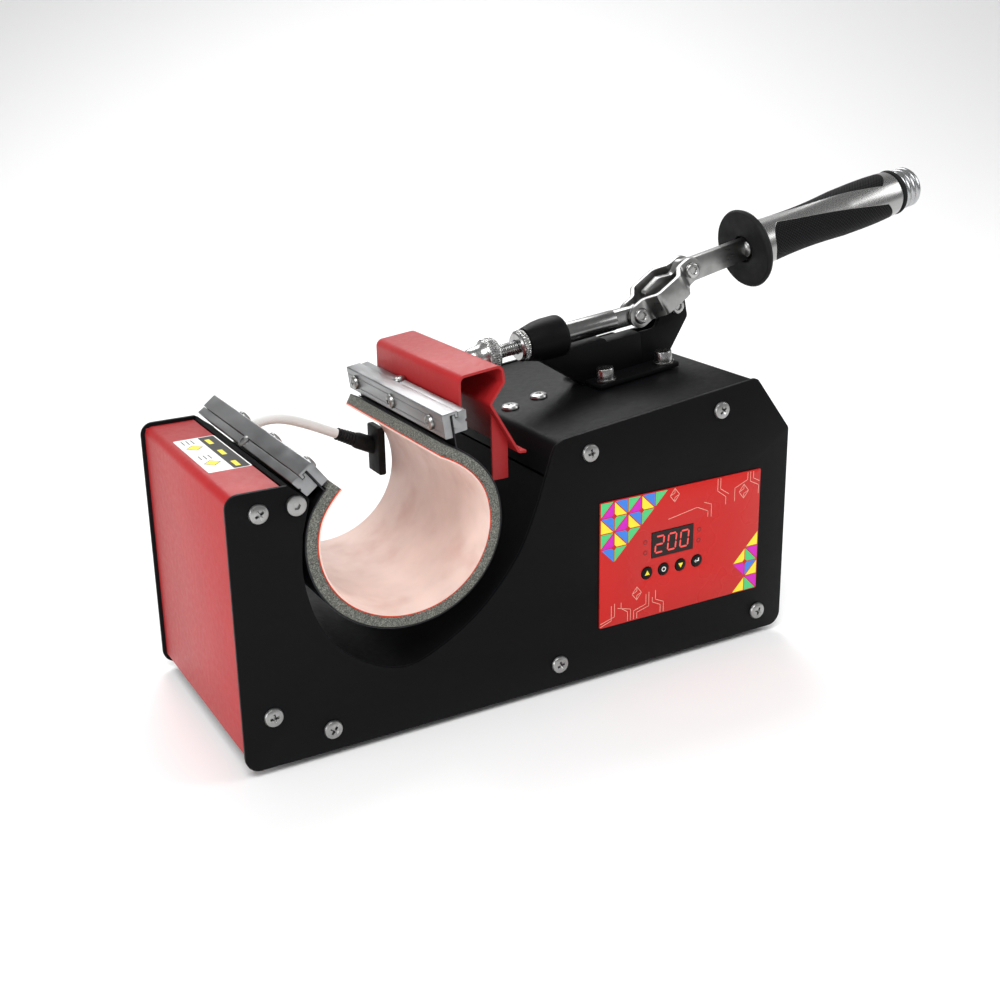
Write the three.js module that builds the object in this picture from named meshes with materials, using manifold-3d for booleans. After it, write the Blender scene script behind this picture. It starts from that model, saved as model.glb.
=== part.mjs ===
// Mug heat press: a sheet-steel housing, a C-shaped heater for one mug, and a push-pull toggle
// clamp that closes the heater. Millimetres, +X to the right, +Y to the back, +Z up.
import * as THREE from 'three';
import { mergeVertices } from 'three/addons/utils/BufferGeometryUtils.js';
import Module from 'manifold-3d';

const wasm = await Module();
wasm.setup();

// ---- driving dimensions -------------------------------------------------------------------
const LENGTH = 340;            // side plates, left to right
const DEPTH = 143;             // over both side plates
const LOBE_HEIGHT = 146;       // side plates at the left end
const PEAK = [315.3, 157];     // highest corner of the side plates
const DECK_CORNER = [181.3, 142.1];  // left end of the sloping deck
const RIGHT_HEIGHT = 124;      // side plates at the right end
const PLATE = 2;               // side plate thickness
const SHEET = 1.5;             // cover thickness
const COVER_INSET = 2;         // covers lie this far inside the plate outline
const GAP = 0.3;               // clearance between touching pieces
const BASE_LIFT = 6.5;         // base panel above the bottom edge of the plates
const FOOT_DROP = 4;           // feet below the bottom edge of the plates
const FOOT_R = 9;
const FOOT_IN = [28, 22];      // foot centres from the plate ends and from the plates' faces
const FLANGE = 18;             // width of the folded flanges that take the plate screws

const HEATER = [92.8, 109.8];  // centre of the heater
const HEATER_R = 45.2;         // mean inner radius, open
const HEATER_OVAL = 1.7;       // how far the open heater is out of round
const HEATER_TUCK = 3;         // how far its free end leans in
const HEATER_Y = [-1, 116];    // front and rear rim
const MAT = 1.3;               // silicone heating mat
const FOAM = 5.4;              // foam blanket
const BAND = 0.6;              // spring steel band
const LEFT_TIP = 139;          // degrees, end of the heater at the left rail
const RIGHT_TIP = 61.5;        // degrees, end at the right rail
const SPLIT = [-2.5, 0];       // degrees, ends of the fixed and of the moving half

// Rails: foot of the gap between both halves, lean in degrees, and length along Y.
const LEFT_RAIL = { at: [48.4, 142.3], lean: 37.8, y: [0, DEPTH] };
const RIGHT_RAIL = { at: [121.4, 154.8], lean: 7.9, y: [0, HEATER_Y[1] + 1.5] };
const BAR_SCREWS = [0.125, 0.522, 0.924].map((part) => HEATER_Y[1] * part);  // along both clamp bars
const BRACKET_Y = [9.5, HEATER_Y[1] - 8];

const AXIS_HEIGHT = 32;        // plunger axis above the deck
const PIVOT_A = 104;           // plunger pivot along the deck from its left end
const PIVOT_C = 129.7;         // handle pivot along the deck
const PIVOT_B = [142.3, 51];   // link pivot on the handle, along and above the deck
const BARREL = [27.5, 52];     // guide barrel, along the axis
const ROD_R = 6.15;
const SCREW_R = 4;             // adjuster thread
const EAR_HALF = 6;            // half width over the ears of the clamp body
const SLOT_HALF = 3;           // half width of the slot between the ears
const HANDLE_HALF = 2.5;       // half thickness of the handle plate
const EYE_HALF = 3.2;          // half thickness of the rod's eye
const ROD_FLATS = 15.6;        // length of the flats before the eye
const ADJUSTER_TO = 44;        // end of the adjuster's thread, along the axis
const STRAP = 2.8;             // link thickness
const STRAP_WIDTH = 14.4;
const GRIP_AT = [186, 53.3];   // start of the grip
const GRIP_TILT = 5.3;         // degrees, grip against the deck
const GRIP_LENGTH = 108;
const GRIP_R = 14.2;

const PANEL = { x: [LENGTH - 131.2, LENGTH - 20], z: [28, 102.5] };
const DISPLAY = { x: [LENGTH - 96.4, LENGTH - 67.8], z: [63.2, 78.2] };
const BUTTON_R = 3.6;
const BUTTON_Z = 54.9;
const BUTTONS = { button_up: LENGTH - 99.5, button_ok: LENGTH - 88.1, button_down: LENGTH - 76.3,
  button_enter: LENGTH - 64.7 };
const BOARD_Y = 10;            // front face of the controller's circuit board
const BOARD_X = LENGTH - 122;  // left edge of the board

const MID_Y = DEPTH / 2;
const TILT = Math.atan2(PEAK[1] - DECK_CORNER[1], PEAK[0] - DECK_CORNER[0]);
const BRACKET_BACK = RIGHT_RAIL.at[0] + 8.8;  // the bracket's wall, behind the right rail
const ADJUSTER_FROM = (BRACKET_BACK + 1.85 - DECK_CORNER[0] + AXIS_HEIGHT * Math.sin(TILT))
  / Math.cos(TILT);            // start of the adjuster, just inside the bracket
const deckZ = (x) => DECK_CORNER[1] + Math.tan(TILT) * (x - DECK_CORNER[0]);
const DECK_SCREWS = [DECK_CORNER[0] + 21.3, PEAK[0] - 25.1].map((x) => [x, deckZ(x) - 12]);
const PLATE_SCREWS = [[16, LOBE_HEIGHT - 11], [34.9, LOBE_HEIGHT - 10.2], [16, 27.7], [47, 12],
  [LENGTH * 0.538, 13], [LENGTH - 18.1, 12.3], ...DECK_SCREWS];
const SCREW_HOLE_R = 2.8;

// Side plate cut-out round the heater: degrees and distance from the heater's centre.
const WELL = [[1.5, 78.4], [-22, 70.3], [-52.5, 67.3], [-81.5, 71.6], [-97.6, 73.5],
  [-120, 68.4], [-141.7, 62.8], [-166.8, 57.6], [-190, 56.1]];

const LOOKS = {
  black: [0x161616, 0.45, 0.2], red: [0xc63a3e, 0.45, 0.1], steel: [0xb8b8b4, 0.35, 1],
  aluminium: [0xb4b5b6, 0.45, 0.9], rubber: [0x1c1c1d, 0.8, 0], foam: [0x767a70, 0.95, 0],
  mat: [0xe9cfc6, 0.55, 0], band: [0x2a2a2c, 0.4, 0.8], panel: [0xcf2f2f, 0.35, 0],
  plastic: [0x111112, 0.4, 0], board: [0x1f5a34, 0.6, 0], lead: [0xe6e6e4, 0.6, 0],
};

// ---- helpers ------------------------------------------------------------------------------
const rad = THREE.MathUtils.degToRad;
const mirrorX = (points) => points.map(([a, b]) => [-a, b]);
const polar = (degrees, r) => [HEATER[0] + r * Math.cos(rad(degrees)),
  HEATER[1] + r * Math.sin(rad(degrees))];

function solid(geometry) {
  const bare = geometry.clone();
  for (const name of Object.keys(bare.attributes)) if (name !== 'position') bare.deleteAttribute(name);
  const merged = mergeVertices(bare, 1e-4);
  return new wasm.Manifold(new wasm.Mesh({ numProp: 3,
    vertProperties: new Float32Array(merged.attributes.position.array),
    triVerts: new Uint32Array(merged.index.array) }));
}

function geometryOf(body) {
  const mesh = body.getMesh();
  const geometry = new THREE.BufferGeometry();
  geometry.setAttribute('position', new THREE.BufferAttribute(mesh.vertProperties, 3));
  geometry.setIndex(new THREE.BufferAttribute(mesh.triVerts, 1));
  return geometry;
}

const join = (...parts) => geometryOf(parts.map(solid).reduce((a, b) => a.add(b)));
const cut = (base, ...tools) => geometryOf(tools.map(solid).reduce((a, b) => a.subtract(b), solid(base)));
const meet = (a, b) => geometryOf(solid(a).intersect(solid(b)));

// A closed outline of [x, z, radius] corners, with an arc at each corner that has a radius.
function corners(list, steps = 4) {
  const out = [];
  list.forEach(([x, z, r = 0], i) => {
    const at = new THREE.Vector2(x, z);
    if (!r) return out.push(at);
    const before = list[(i + list.length - 1) % list.length];
    const after = list[(i + 1) % list.length];
    out.push(...arcAt(new THREE.Vector2(before[0], before[1]), at, new THREE.Vector2(after[0], after[1]),
      r, steps));
  });
  return out;
}

// The points of an arc of radius r that rounds the corner between two straight edges.
function arcAt(before, at, after, r, steps) {
  const a = before.clone().sub(at);
  const b = after.clone().sub(at);
  const half = Math.acos(THREE.MathUtils.clamp(a.clone().normalize().dot(b.clone().normalize()), -1, 1)) / 2;
  const reach = Math.min(r / Math.tan(half), 0.45 * a.length(), 0.45 * b.length());
  const radius = reach * Math.tan(half);
  const centre = a.clone().normalize().add(b.clone().normalize()).normalize()
    .multiplyScalar(radius / Math.sin(half)).add(at);
  const start = a.normalize().multiplyScalar(reach).add(at).sub(centre);
  const end = b.normalize().multiplyScalar(reach).add(at).sub(centre);
  const turn = Math.atan2(start.cross(end), start.dot(end));
  return Array.from({ length: steps + 1 }, (_, i) => start.clone()
    .rotateAround(new THREE.Vector2(), turn * i / steps).add(centre));
}

// An outline in X and Z, drawn out along Y from y0 to y1.
function prism(points, y0, y1) {
  const shape = new THREE.Shape(points.map((p) => (p.isVector2 ? p : new THREE.Vector2(p[0], p[1]))));
  return new THREE.ExtrudeGeometry(shape, { depth: y1 - y0, bevelEnabled: false })
    .rotateX(Math.PI / 2).translate(0, y1, 0);
}

// The section of a bent sheet that follows an open line of [x, z, bend radius] points.
function sheetSection(line, thickness) {
  const path = line.flatMap(([x, z, r = 0], i) => {
    const at = new THREE.Vector2(x, z);
    if (!r || i === 0 || i === line.length - 1) return [at];
    return arcAt(new THREE.Vector2(...line[i - 1].slice(0, 2)), at,
      new THREE.Vector2(...line[i + 1].slice(0, 2)), r, 4);
  });
  const side = (sign) => path.map((p, i) => {
    const back = p.clone().sub(path[Math.max(i - 1, 0)]).normalize();
    const ahead = path[Math.min(i + 1, path.length - 1)].clone().sub(p).normalize();
    const along = back.add(ahead).normalize();
    const bend = Math.max(along.dot(ahead.lengthSq() ? ahead : along), 0.5);
    return new THREE.Vector2(-along.y, along.x).multiplyScalar(sign * thickness / 2 / bend).add(p);
  });
  return [...side(1), ...side(-1).reverse()];
}

const block = (x, y, z) => new THREE.BoxGeometry(x[1] - x[0], y[1] - y[0], z[1] - z[0])
  .translate((x[0] + x[1]) / 2, (y[0] + y[1]) / 2, (z[0] + z[1]) / 2);

// A turned solid of [radius, distance] points about an axis that starts at a place.
function turned(profile, from, direction, sides = 16) {
  const turn = new THREE.Quaternion().setFromUnitVectors(new THREE.Vector3(0, 1, 0),
    new THREE.Vector3(...direction).normalize());
  return new THREE.LatheGeometry(profile.map(([r, d]) => new THREE.Vector2(r, d)), sides)
    .applyQuaternion(turn).translate(...from);
}

const rod = (r, length, from, direction, sides = 12) =>
  turned([[0, 0], [r, 0], [r, length], [0, length]], from, direction, sides);

function add(group, name, geometry, look) {
  const [color, roughness, metalness] = LOOKS[look];
  const mesh = new THREE.Mesh(geometry, new THREE.MeshStandardMaterial({ color, roughness, metalness }));
  mesh.name = name;
  group.add(mesh);
  return mesh;
}

// ---- housing ------------------------------------------------------------------------------
const wellLine = (extra, list) => new THREE.SplineCurve(list.map(([degrees, r]) =>
  new THREE.Vector2(...polar(degrees, r + extra)))).getPoints(18);

function plateOutline() {
  const well = wellLine(0, WELL).map((p) => [p.x, p.y]);
  const [tipX, tipZ] = LEFT_RAIL.at;
  return corners([[0, 0, 8], [LENGTH, 0, 8], [LENGTH, RIGHT_HEIGHT, 4], [...PEAK, 4],
    [...DECK_CORNER, 10], ...well, [tipX - 6, tipZ - 5, 2], [tipX - 17, LOBE_HEIGHT, 2],
    [0, LOBE_HEIGHT, 7]]);
}

const screwHoles = (y0, y1, list = PLATE_SCREWS) => list.map(([x, z]) =>
  rod(SCREW_HOLE_R, y1 - y0 + 2, [x, y0 - 1, z], [0, 1, 0], 8));

function frontPlate() {
  const buttonHoles = Object.values(BUTTONS).map((x) =>
    rod(BUTTON_R + GAP, PLATE + 2, [x, -1, BUTTON_Z], [0, 1, 0]));
  const window = block(grow(DISPLAY.x), [-1, PLATE + 1], grow(DISPLAY.z));
  return cut(prism(plateOutline(), 0, PLATE), ...screwHoles(0, PLATE), ...buttonHoles, window);
}

const grow = ([low, high]) => [low - GAP, high + GAP];
const flangeY = [[PLATE + GAP, PLATE + GAP + SHEET], [DEPTH - PLATE - GAP - SHEET, DEPTH - PLATE - GAP]];
const INNER = [PLATE + GAP, DEPTH - PLATE - GAP];

// A cover between the plates, with a flange of the same outline at both plates.
function cover(section, flange, screws) {
  const sheets = [prism(section, ...INNER), ...flangeY.map((y) => prism(flange, ...y))];
  return cut(join(...sheets), ...screwHoles(...INNER, screws));
}

function endCover() {
  const left = COVER_INSET + SHEET / 2;
  const top = LOBE_HEIGHT - COVER_INSET - SHEET / 2;
  const right = LEFT_RAIL.at[0] - 18.2;
  const section = sheetSection([[left, BASE_LIFT], [left, top, 4], [right, top]], SHEET);
  return cover(section, [[left, BASE_LIFT + 2], [left + FLANGE + 4, BASE_LIFT + 2],
    [left + FLANGE + 4, top], [left, top]], [PLATE_SCREWS[0], PLATE_SCREWS[2]]);
}

function topCover() {
  const drop = 0.8 + SHEET / 2;
  const right = LENGTH - drop;
  const start = [DECK_CORNER[0] + 1.1, deckZ(DECK_CORNER[0]) - drop];
  const section = sheetSection([[start[0] - 5.6, start[1] - 17], [...start, 5],
    [PEAK[0] - 0.6, PEAK[1] - drop, 4], [right, RIGHT_HEIGHT - 1, 5], [right, BASE_LIFT + 2.5]], SHEET);
  const [x0, x1] = [DECK_CORNER[0] + 7, PEAK[0] - 3];
  const flange = [[x0, deckZ(x0) - drop - FLANGE], [x1, deckZ(x1) - drop - FLANGE],
    [x1, deckZ(x1) - drop], [x0, deckZ(x0) - drop]];
  const openings = [block([right - 5, right + 5], grow(INLET.y), grow(INLET.z)),
    block([right - 5, right + 5], grow(SWITCH.y), grow(SWITCH.z)),
    rod(FUSE_R + GAP, 10, [right - 5, FUSE_AT[0], FUSE_AT[1]], [1, 0, 0])];
  return cut(cover(section, flange, PLATE_SCREWS.slice(6)), ...openings, ...deckHoles());
}

// Holes for the clamp bolts, square to the deck.
function deckHoles() {
  const up = new THREE.Vector3(0, 0, 1).applyAxisAngle(new THREE.Vector3(0, 1, 0), -TILT);
  return BOLTS.map(([u, v]) => {
    const at = new THREE.Vector3(u, v, -8).applyAxisAngle(new THREE.Vector3(0, 1, 0), -TILT)
      .add(new THREE.Vector3(DECK_CORNER[0], MID_Y, DECK_CORNER[1]));
    return rod(BOLT_R + GAP, 12, at.toArray(), up.toArray());
  });
}

function wellPanel() {
  const list = [[8, 83.4], ...WELL, [-195, 57.2]];
  const inner = wellLine(COVER_INSET, list);
  const outer = wellLine(COVER_INSET + SHEET, list).reverse();
  const shell = prism([...inner, ...outer], ...INNER);
  return cut(shell, rod(GLAND_R + GAP, 16, [GLAND[0] - 8, GLAND[1], GLAND[2]], [1, 0, 0]));
}

function basePanel() {
  const z = BASE_LIFT + SHEET / 2;
  const x = [COVER_INSET + SHEET + GAP, LENGTH - COVER_INSET - SHEET - GAP];
  const flange = [[FLANGE + 12, z], [x[1] - 4, z], [x[1] - 4, z + 13], [FLANGE + 12, z + 13]];
  return cover(sheetSection([[x[0], z], [x[1], z]], SHEET), flange, PLATE_SCREWS.slice(3, 6));
}

function feet(group) {
  const [inX, inY] = FOOT_IN;
  let number = 0;
  for (const x of [inX, LENGTH - inX]) {
    for (const y of [inY, DEPTH - inY]) {
      number += 1;
      const profile = [[0, 0], [FOOT_R - 1.5, 0], [FOOT_R - 0.5, 1], [FOOT_R, BASE_LIFT + FOOT_DROP - GAP],
        [0, BASE_LIFT + FOOT_DROP - GAP]];
      add(group, `foot_${number}`, turned(profile, [x, y, -FOOT_DROP], [0, 0, 1], 12), 'rubber');
    }
  }
}

// ---- mains side, on the right end wall ----------------------------------------------------
const WALL_X = LENGTH - 0.8;   // outer face of the right end wall
const INLET = { y: [MID_Y - 40.5, MID_Y - 12.5], z: [32, 56] };
const SWITCH = { y: [MID_Y + 14.5, MID_Y + 36.5], z: [31, 58] };
const ROCKER_TILT = 9;         // degrees off level, each way
const FUSE_R = 6.5;
const FUSE_AT = [MID_Y + 0.5, 40];

function powerInlet() {
  const [y, z] = [INLET.y, INLET.z];
  const collar = [WALL_X + GAP, WALL_X + 2.4];
  const body = join(block([WALL_X - 21, WALL_X + 1], y, z),
    block(collar, [y[0] - 3, y[1] + 3], [z[0] - 3, z[1] + 3]));
  const hollow = block([WALL_X - 17, WALL_X + 5], [y[0] + 2, y[1] - 2], [z[0] + 2.5, z[1] - 2.5]);
  const blades = [[-7, -2], [0, 3], [7, -2]].map(([dy, dz]) => block([WALL_X - 18, WALL_X - 8],
    [(y[0] + y[1]) / 2 + dy - 1, (y[0] + y[1]) / 2 + dy + 1],
    [(z[0] + z[1]) / 2 + dz - 2, (z[0] + z[1]) / 2 + dz + 2]));
  return join(cut(body, hollow), ...blades);
}

function switchFrame() {
  const [y, z] = [SWITCH.y, SWITCH.z];
  const body = join(block([WALL_X - 18, WALL_X + 1], y, z),
    block([WALL_X + GAP, WALL_X + 2.4], [y[0] - 2, y[1] + 2], [z[0] - 2, z[1] + 2]));
  return cut(body, block([WALL_X - 11, WALL_X + 5], [y[0] + 2.5, y[1] - 2.5], [z[0] + 2.5, z[1] - 2.5]));
}

// The rocker turns about a line along Y in the mouth of its frame.
function rocker() {
  const half = (SWITCH.z[1] - SWITCH.z[0]) / 2 - 2.5 - 2 * GAP;
  const outline = corners([[-5, -half + 3, 1], [-1, -half, 0.6], [3.4, -half, 0.6], [1.6, 0, 6],
    [3.4, half, 0.6], [-1, half, 0.6], [-5, half - 3, 1]], 3);
  return prism(outline, SWITCH.y[0] + 2.5 + GAP, SWITCH.y[1] - 2.5 - GAP);
}

function fuseHolder() {
  const profile = [[0, -16], [FUSE_R - 1, -16], [FUSE_R, -14], [FUSE_R, GAP], [FUSE_R + 2, GAP],
    [FUSE_R + 2, 2], [FUSE_R - 1, 3], [FUSE_R - 1.4, 7], [0, 7]];
  return turned(profile, [WALL_X, ...FUSE_AT], [1, 0, 0], 14);
}

// ---- control side -------------------------------------------------------------------------
function controlPanel() {
  const face = [-0.8, -GAP];
  const holes = Object.values(BUTTONS).map((x) =>
    rod(BUTTON_R + GAP, 3, [x, -2, BUTTON_Z], [0, 1, 0]));
  return cut(block(PANEL.x, face, PANEL.z), ...holes, block(grow(DISPLAY.x), [-2, 1], grow(DISPLAY.z)));
}

const button = (x) => join(rod(BUTTON_R, BOARD_Y - 2.9, [x, -1.3, BUTTON_Z], [0, 1, 0], 12),
  block([x - 5, x + 5], [PLATE + 1, PLATE + 2.2], [BUTTON_Z - 3, BUTTON_Z + 3]));

function controllerBoard() {
  const left = BOARD_X;
  const card = block([left, left + 84], [BOARD_Y, BOARD_Y + 1.6], [38, 96]);
  const posts = [[4, 42], [80, 42], [4, 92], [80, 92]].map(([dx, z]) =>
    rod(3, BOARD_Y + 0.5 - PLATE - GAP, [left + dx, PLATE + GAP, z], [0, 1, 0], 12));
  const switches = Object.values(BUTTONS).map((x) =>
    block([x - 3, x + 3], [BOARD_Y - 3.3, BOARD_Y + 0.5], [BUTTON_Z - 3, BUTTON_Z + 3]));
  const display = block([left + 24, left + 56], [4.6, BOARD_Y + 0.5], [62, 79]);
  const relay = block([left + 8, left + 28], [BOARD_Y + 1, BOARD_Y + 17], [72, 88]);
  const transformer = block([left + 44, left + 74], [BOARD_Y + 1, BOARD_Y + 24], [66, 92]);
  const connector = block([left + 38, left + 78], [BOARD_Y + 1, BOARD_Y + 11], [40, 48]);
  return join(card, ...posts, ...switches, display, relay, transformer, connector);
}

function relayBlock() {
  const floor = BASE_LIFT + SHEET + GAP;
  const x = LENGTH - 112;
  const y = MID_Y - 5.5;
  return join(block([x, x + 62], [y, y + 48], [floor, floor + 4]),
    block([x + 8, x + 54], [y + 2, y + 46], [floor + 3, floor + 25]),
    block([x + 10, x + 20], [y + 6, y + 42], [floor + 24, floor + 30]));
}

// ---- heater -------------------------------------------------------------------------------
// Inner radius of the open heater: slightly oval, with both ends leaning in.
function heaterInner(degrees) {
  const turn = (degrees + 360) % 360;
  const right = turn < 90 ? THREE.MathUtils.smoothstep(turn, 12, RIGHT_TIP) : 0;
  const left = turn < 180 && turn > 90 ? 1 - THREE.MathUtils.smoothstep(turn, LEFT_TIP, LEFT_TIP + 26) : 0;
  return HEATER_R + HEATER_OVAL * Math.cos(rad(2 * (turn - 170))) - HEATER_TUCK * right
    - HEATER_TUCK / 2 * left;
}

function heaterLayer(inside, thickness, from, to) {
  const count = Math.round(Math.abs(to - from) / 6.5);
  const at = (i) => from + (to - from) * i / count;
  const ring = (extra) => Array.from({ length: count + 1 }, (_, i) =>
    new THREE.Vector2(...polar(at(i), heaterInner(at(i)) + extra)));
  return prism([...ring(inside), ...ring(inside + thickness).reverse()], ...HEATER_Y);
}

const BAND_INSIDE = MAT + FOAM + 2 * GAP;  // from the heater's inner face to the band

// How far below a rail's foot the line of its gap meets the band.
function earReach(rail) {
  const down = new THREE.Vector2(Math.sin(rad(rail.lean)), -Math.cos(rad(rail.lean)));
  const centre = new THREE.Vector2(...HEATER);
  for (let drop = 0; drop < HEATER_R; drop += 0.05) {
    const arm = new THREE.Vector2(...rail.at).addScaledVector(down, drop).sub(centre);
    const degrees = THREE.MathUtils.radToDeg(arm.angle());
    if (arm.length() < heaterInner(degrees) + BAND_INSIDE + BAND / 2) return -drop;
  }
  throw new Error('the rail does not face the heater');
}

// The band's end is folded out to a flat ear, which the clamp bar holds on its rail.
function bandWithEar(rail, from, to) {
  const holes = BAR_SCREWS.map((y) => rod(BAR_SCREW_R + GAP, 4, [-2, y, BAR_SCREW_Z], [1, 0, 0], 8));
  const ear = cut(block([-BAND / 2, BAND / 2], HEATER_Y, [earReach(rail), RAIL_TALL - 1.2]), ...holes)
    .rotateY(-rad(rail.lean)).translate(rail.at[0], 0, rail.at[1]);
  return join(heaterLayer(BAND_INSIDE, BAND, from, to), ear);
}

// ---- rails --------------------------------------------------------------------------------
const RAIL_TALL = 12.5;
const BAR_SCREW_R = 2;
const BAR_SCREW_Z = 6.3;
const RAIL_SLOT = BAND / 2 + GAP;

// Both halves of a rail: the back, and the clamp bar that hooks into its groove.
const railBack = [[-RAIL_SLOT, 1.8], [-RAIL_SLOT, RAIL_TALL - 1], [-2, RAIL_TALL - 1],
  [-2, RAIL_TALL - 2.8], [-4, RAIL_TALL - 2.8], [-4, RAIL_TALL], [-8.8, RAIL_TALL + 0.4], [-7.9, 1.8]];
const clampBar = [[RAIL_SLOT, 0], [5, 0.3], [5, RAIL_TALL + 0.8], [-3.7, RAIL_TALL + 0.8],
  [-3.7, RAIL_TALL - 2.5], [-2.3, RAIL_TALL - 2.5], [-2.3, RAIL_TALL - 0.7], [RAIL_SLOT, RAIL_TALL - 0.7]];

const panScrew = (length, r = 4) => [[0, -length], [BAR_SCREW_R, -length], [BAR_SCREW_R, 0], [r, 0],
  [r * 0.95, 1.2], [r * 0.6, 2.2], [0, 2.5]];

function addRail(group, rail, side, names) {
  const holder = new THREE.Group();
  holder.position.set(rail.at[0], 0, rail.at[1]);
  holder.rotation.y = -rad(rail.lean);
  const place = side > 0 ? (points) => points : mirrorX;
  const holes = BAR_SCREWS.map((y) => rod(BAR_SCREW_R + GAP, 20, [-6 * side, y, BAR_SCREW_Z], [side, 0, 0], 8));
  add(holder, names.back, cut(prism(place(railBack), ...rail.y), ...holes,
    rod(2 + GAP, 12, [-6.4 * side, MID_Y, RAIL_TALL - 7], [0, 0, 1], 12)), 'aluminium');
  add(holder, names.bar, cut(prism(place(clampBar), ...rail.y), ...holes), 'aluminium');
  BAR_SCREWS.forEach((y, i) => add(holder, `${names.screw}_${i + 1}`,
    turned(panScrew(9), [(5 + GAP) * side, y, BAR_SCREW_Z], [side, 0, 0], 10), 'steel'));
  group.add(holder);
}

// The bar between the plates that carries the left rail.
function railSupport() {
  const [x, z] = LEFT_RAIL.at;
  const section = [[x - 17.6, z - 11], [x - 9.9, z - 11], [x - 7.7, z - 3.9], [x - 16.1, z + 3.4],
    [x - 17.6, z + 2.2]];
  return cut(prism(section, ...INNER), rod(2.2, DEPTH, [PLATE_SCREWS[1][0], 0, PLATE_SCREWS[1][1]],
    [0, 1, 0], 12));
}

// ---- carriage: bracket behind the right rail -----------------------------------------------
const axisAt = (u) => [DECK_CORNER[0] + u * Math.cos(TILT) - AXIS_HEIGHT * Math.sin(TILT),
  DECK_CORNER[1] + u * Math.sin(TILT) + AXIS_HEIGHT * Math.cos(TILT)];

function bracketSection() {
  const [back, z] = [BRACKET_BACK, axisAt(ADJUSTER_FROM)[1]];
  return sheetSection([[back, z - 10.8], [back, z + 13.4, 3.5], [back + 25, z + 16.1, 3.5],
    [back + 25.9, z + 7.2, 3], [back + 17.6, z - 3.4, 2], [back + 34.4, z - 31.9, 2],
    [back + 38.8, z - 32.2]], SHEET);
}

function pushBracket() {
  const [back, z] = [BRACKET_BACK, axisAt(ADJUSTER_FROM)[1]];
  const tongue = block([back + 20.8, back + 30.4], [BRACKET_Y[0] + 5, BRACKET_Y[0] + 5 + SHEET],
    [z - 46.8, z - 20.8]);
  const keep = prism([[back + 9.8, z - 58.8], [back + 34.4, z - 58.8], [back + 34.4, z - 31.9],
    [back + 17.6, z - 3.4], [back + 9.8, z - 3.4]], 0, DEPTH);
  const sheet = join(prism(bracketSection(), ...BRACKET_Y), meet(tongue, keep));
  return cut(sheet, axisRod(SCREW_R + 2 * GAP, [-42, 0]));
}

// A rod along the plunger axis, between two distances from the deck's left end.
function axisRod(r, [from, to]) {
  const [x, z] = axisAt(from);
  return rod(r, to - from, [x, MID_Y, z], [Math.cos(TILT), 0, Math.sin(TILT)], 20);
}

// ---- heater lead ---------------------------------------------------------------------------
const GLAND_R = 4.6;
const LEAD_Y = HEATER_Y[1] + 10;
const GLAND = [37.2, LEAD_Y, 124];
const LEAD_D = 5.8;
const LEAD_ROUTE = [[38.5, 124], [44.4, 124.1], [47.6, 126.4], [50.5, 131], [53.5, 135.2], [57.5, 138.4],
  [62.5, 140.5], [68, 141.3], [74, 141], [80, 139.6], [86, 137.4], [92, 134.8], [98, 132], [104, 129],
  [109.6, 126.2]];

function cableBoot() {
  const [x, z] = LEAD_ROUTE.at(-1);
  const [dx, dz] = [Math.cos(rad(-26)), Math.sin(rad(-26))];
  const neck = turned([[0, GAP], [LEAD_D / 2 + 0.8, GAP], [LEAD_D / 2 + 1.4, 12], [4.6, 13], [5, 27], [0, 27]],
    [x, LEAD_Y, z], [dx, 0, dz], 16);
  const flange = block([x + 22, x + 26.5], [HEATER_Y[1] + GAP, LEAD_Y + 5], [99, 128]);
  return join(neck, flange);
}

function heaterLead() {
  const path = new THREE.CatmullRomCurve3(LEAD_ROUTE.map(([x, z]) => new THREE.Vector3(x, LEAD_Y, z)));
  const ring = Array.from({ length: 8 }, (_, i) => new THREE.Vector2(
    LEAD_D / 2 * Math.cos(i * Math.PI / 4), LEAD_D / 2 * Math.sin(i * Math.PI / 4)));
  return new THREE.ExtrudeGeometry(new THREE.Shape(ring), { steps: 22, bevelEnabled: false,
    extrudePath: path });
}

function leadGland() {
  const bore = LEAD_D / 2 + 1.2 * GAP;
  const profile = [[bore, -4], [GLAND_R, -4], [GLAND_R, 3.4], [GLAND_R + 1.6, 3.4],
    [GLAND_R + 1, 5], [bore, 7], [bore, -4]];
  return turned(profile, GLAND, [1, 0, 0], 16);
}

// ---- toggle clamp, in the deck's frame: x along the deck, z square to it -------------------
const BOLTS = [[70.2, -15], [111.5, -15], [70.2, 15], [111.5, 15]];
const BOLT_R = 3;

function clampBody() {
  const web = corners([[31, 24], [44, 14, 6], [61, GAP], [119, GAP], [137.6, 24, 3], [136.5, 36, 5],
    [PIVOT_C, AXIS_HEIGHT + 9, 7], [120.5, 34, 3], [114, 22, 4], [79.5, 22], [78, 24.2], [50, 24.2],
    [50, 28], [31, 28]]);
  const barrel = turned([[0, 0], [9.6, 0], [11.6, 8], [12.2, 14], [12.2, 22], [11.4, 24.5], [0, 24.5]],
    [BARREL[0], 0, AXIS_HEIGHT], [1, 0, 0], 16);
  const base = block([62, 119.5], [-21, 21], [GAP, 3]);
  const slot = block([103, 145], [-SLOT_HALF, SLOT_HALF], [6, 60]);
  const bore = rod(ROD_R + GAP, 60, [BARREL[0] - 1, 0, AXIS_HEIGHT], [1, 0, 0], 20);
  const holes = BOLTS.map(([u, v]) => rod(BOLT_R + GAP, 10, [u, v, -2], [0, 0, 1]));
  const pin = rod(PIN_R + GAP, 40, [PIVOT_C, -20, AXIS_HEIGHT], [0, 1, 0]);
  return cut(join(prism(web, -EAR_HALF, EAR_HALF), barrel, base), slot, bore, pin, ...holes);
}

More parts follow.
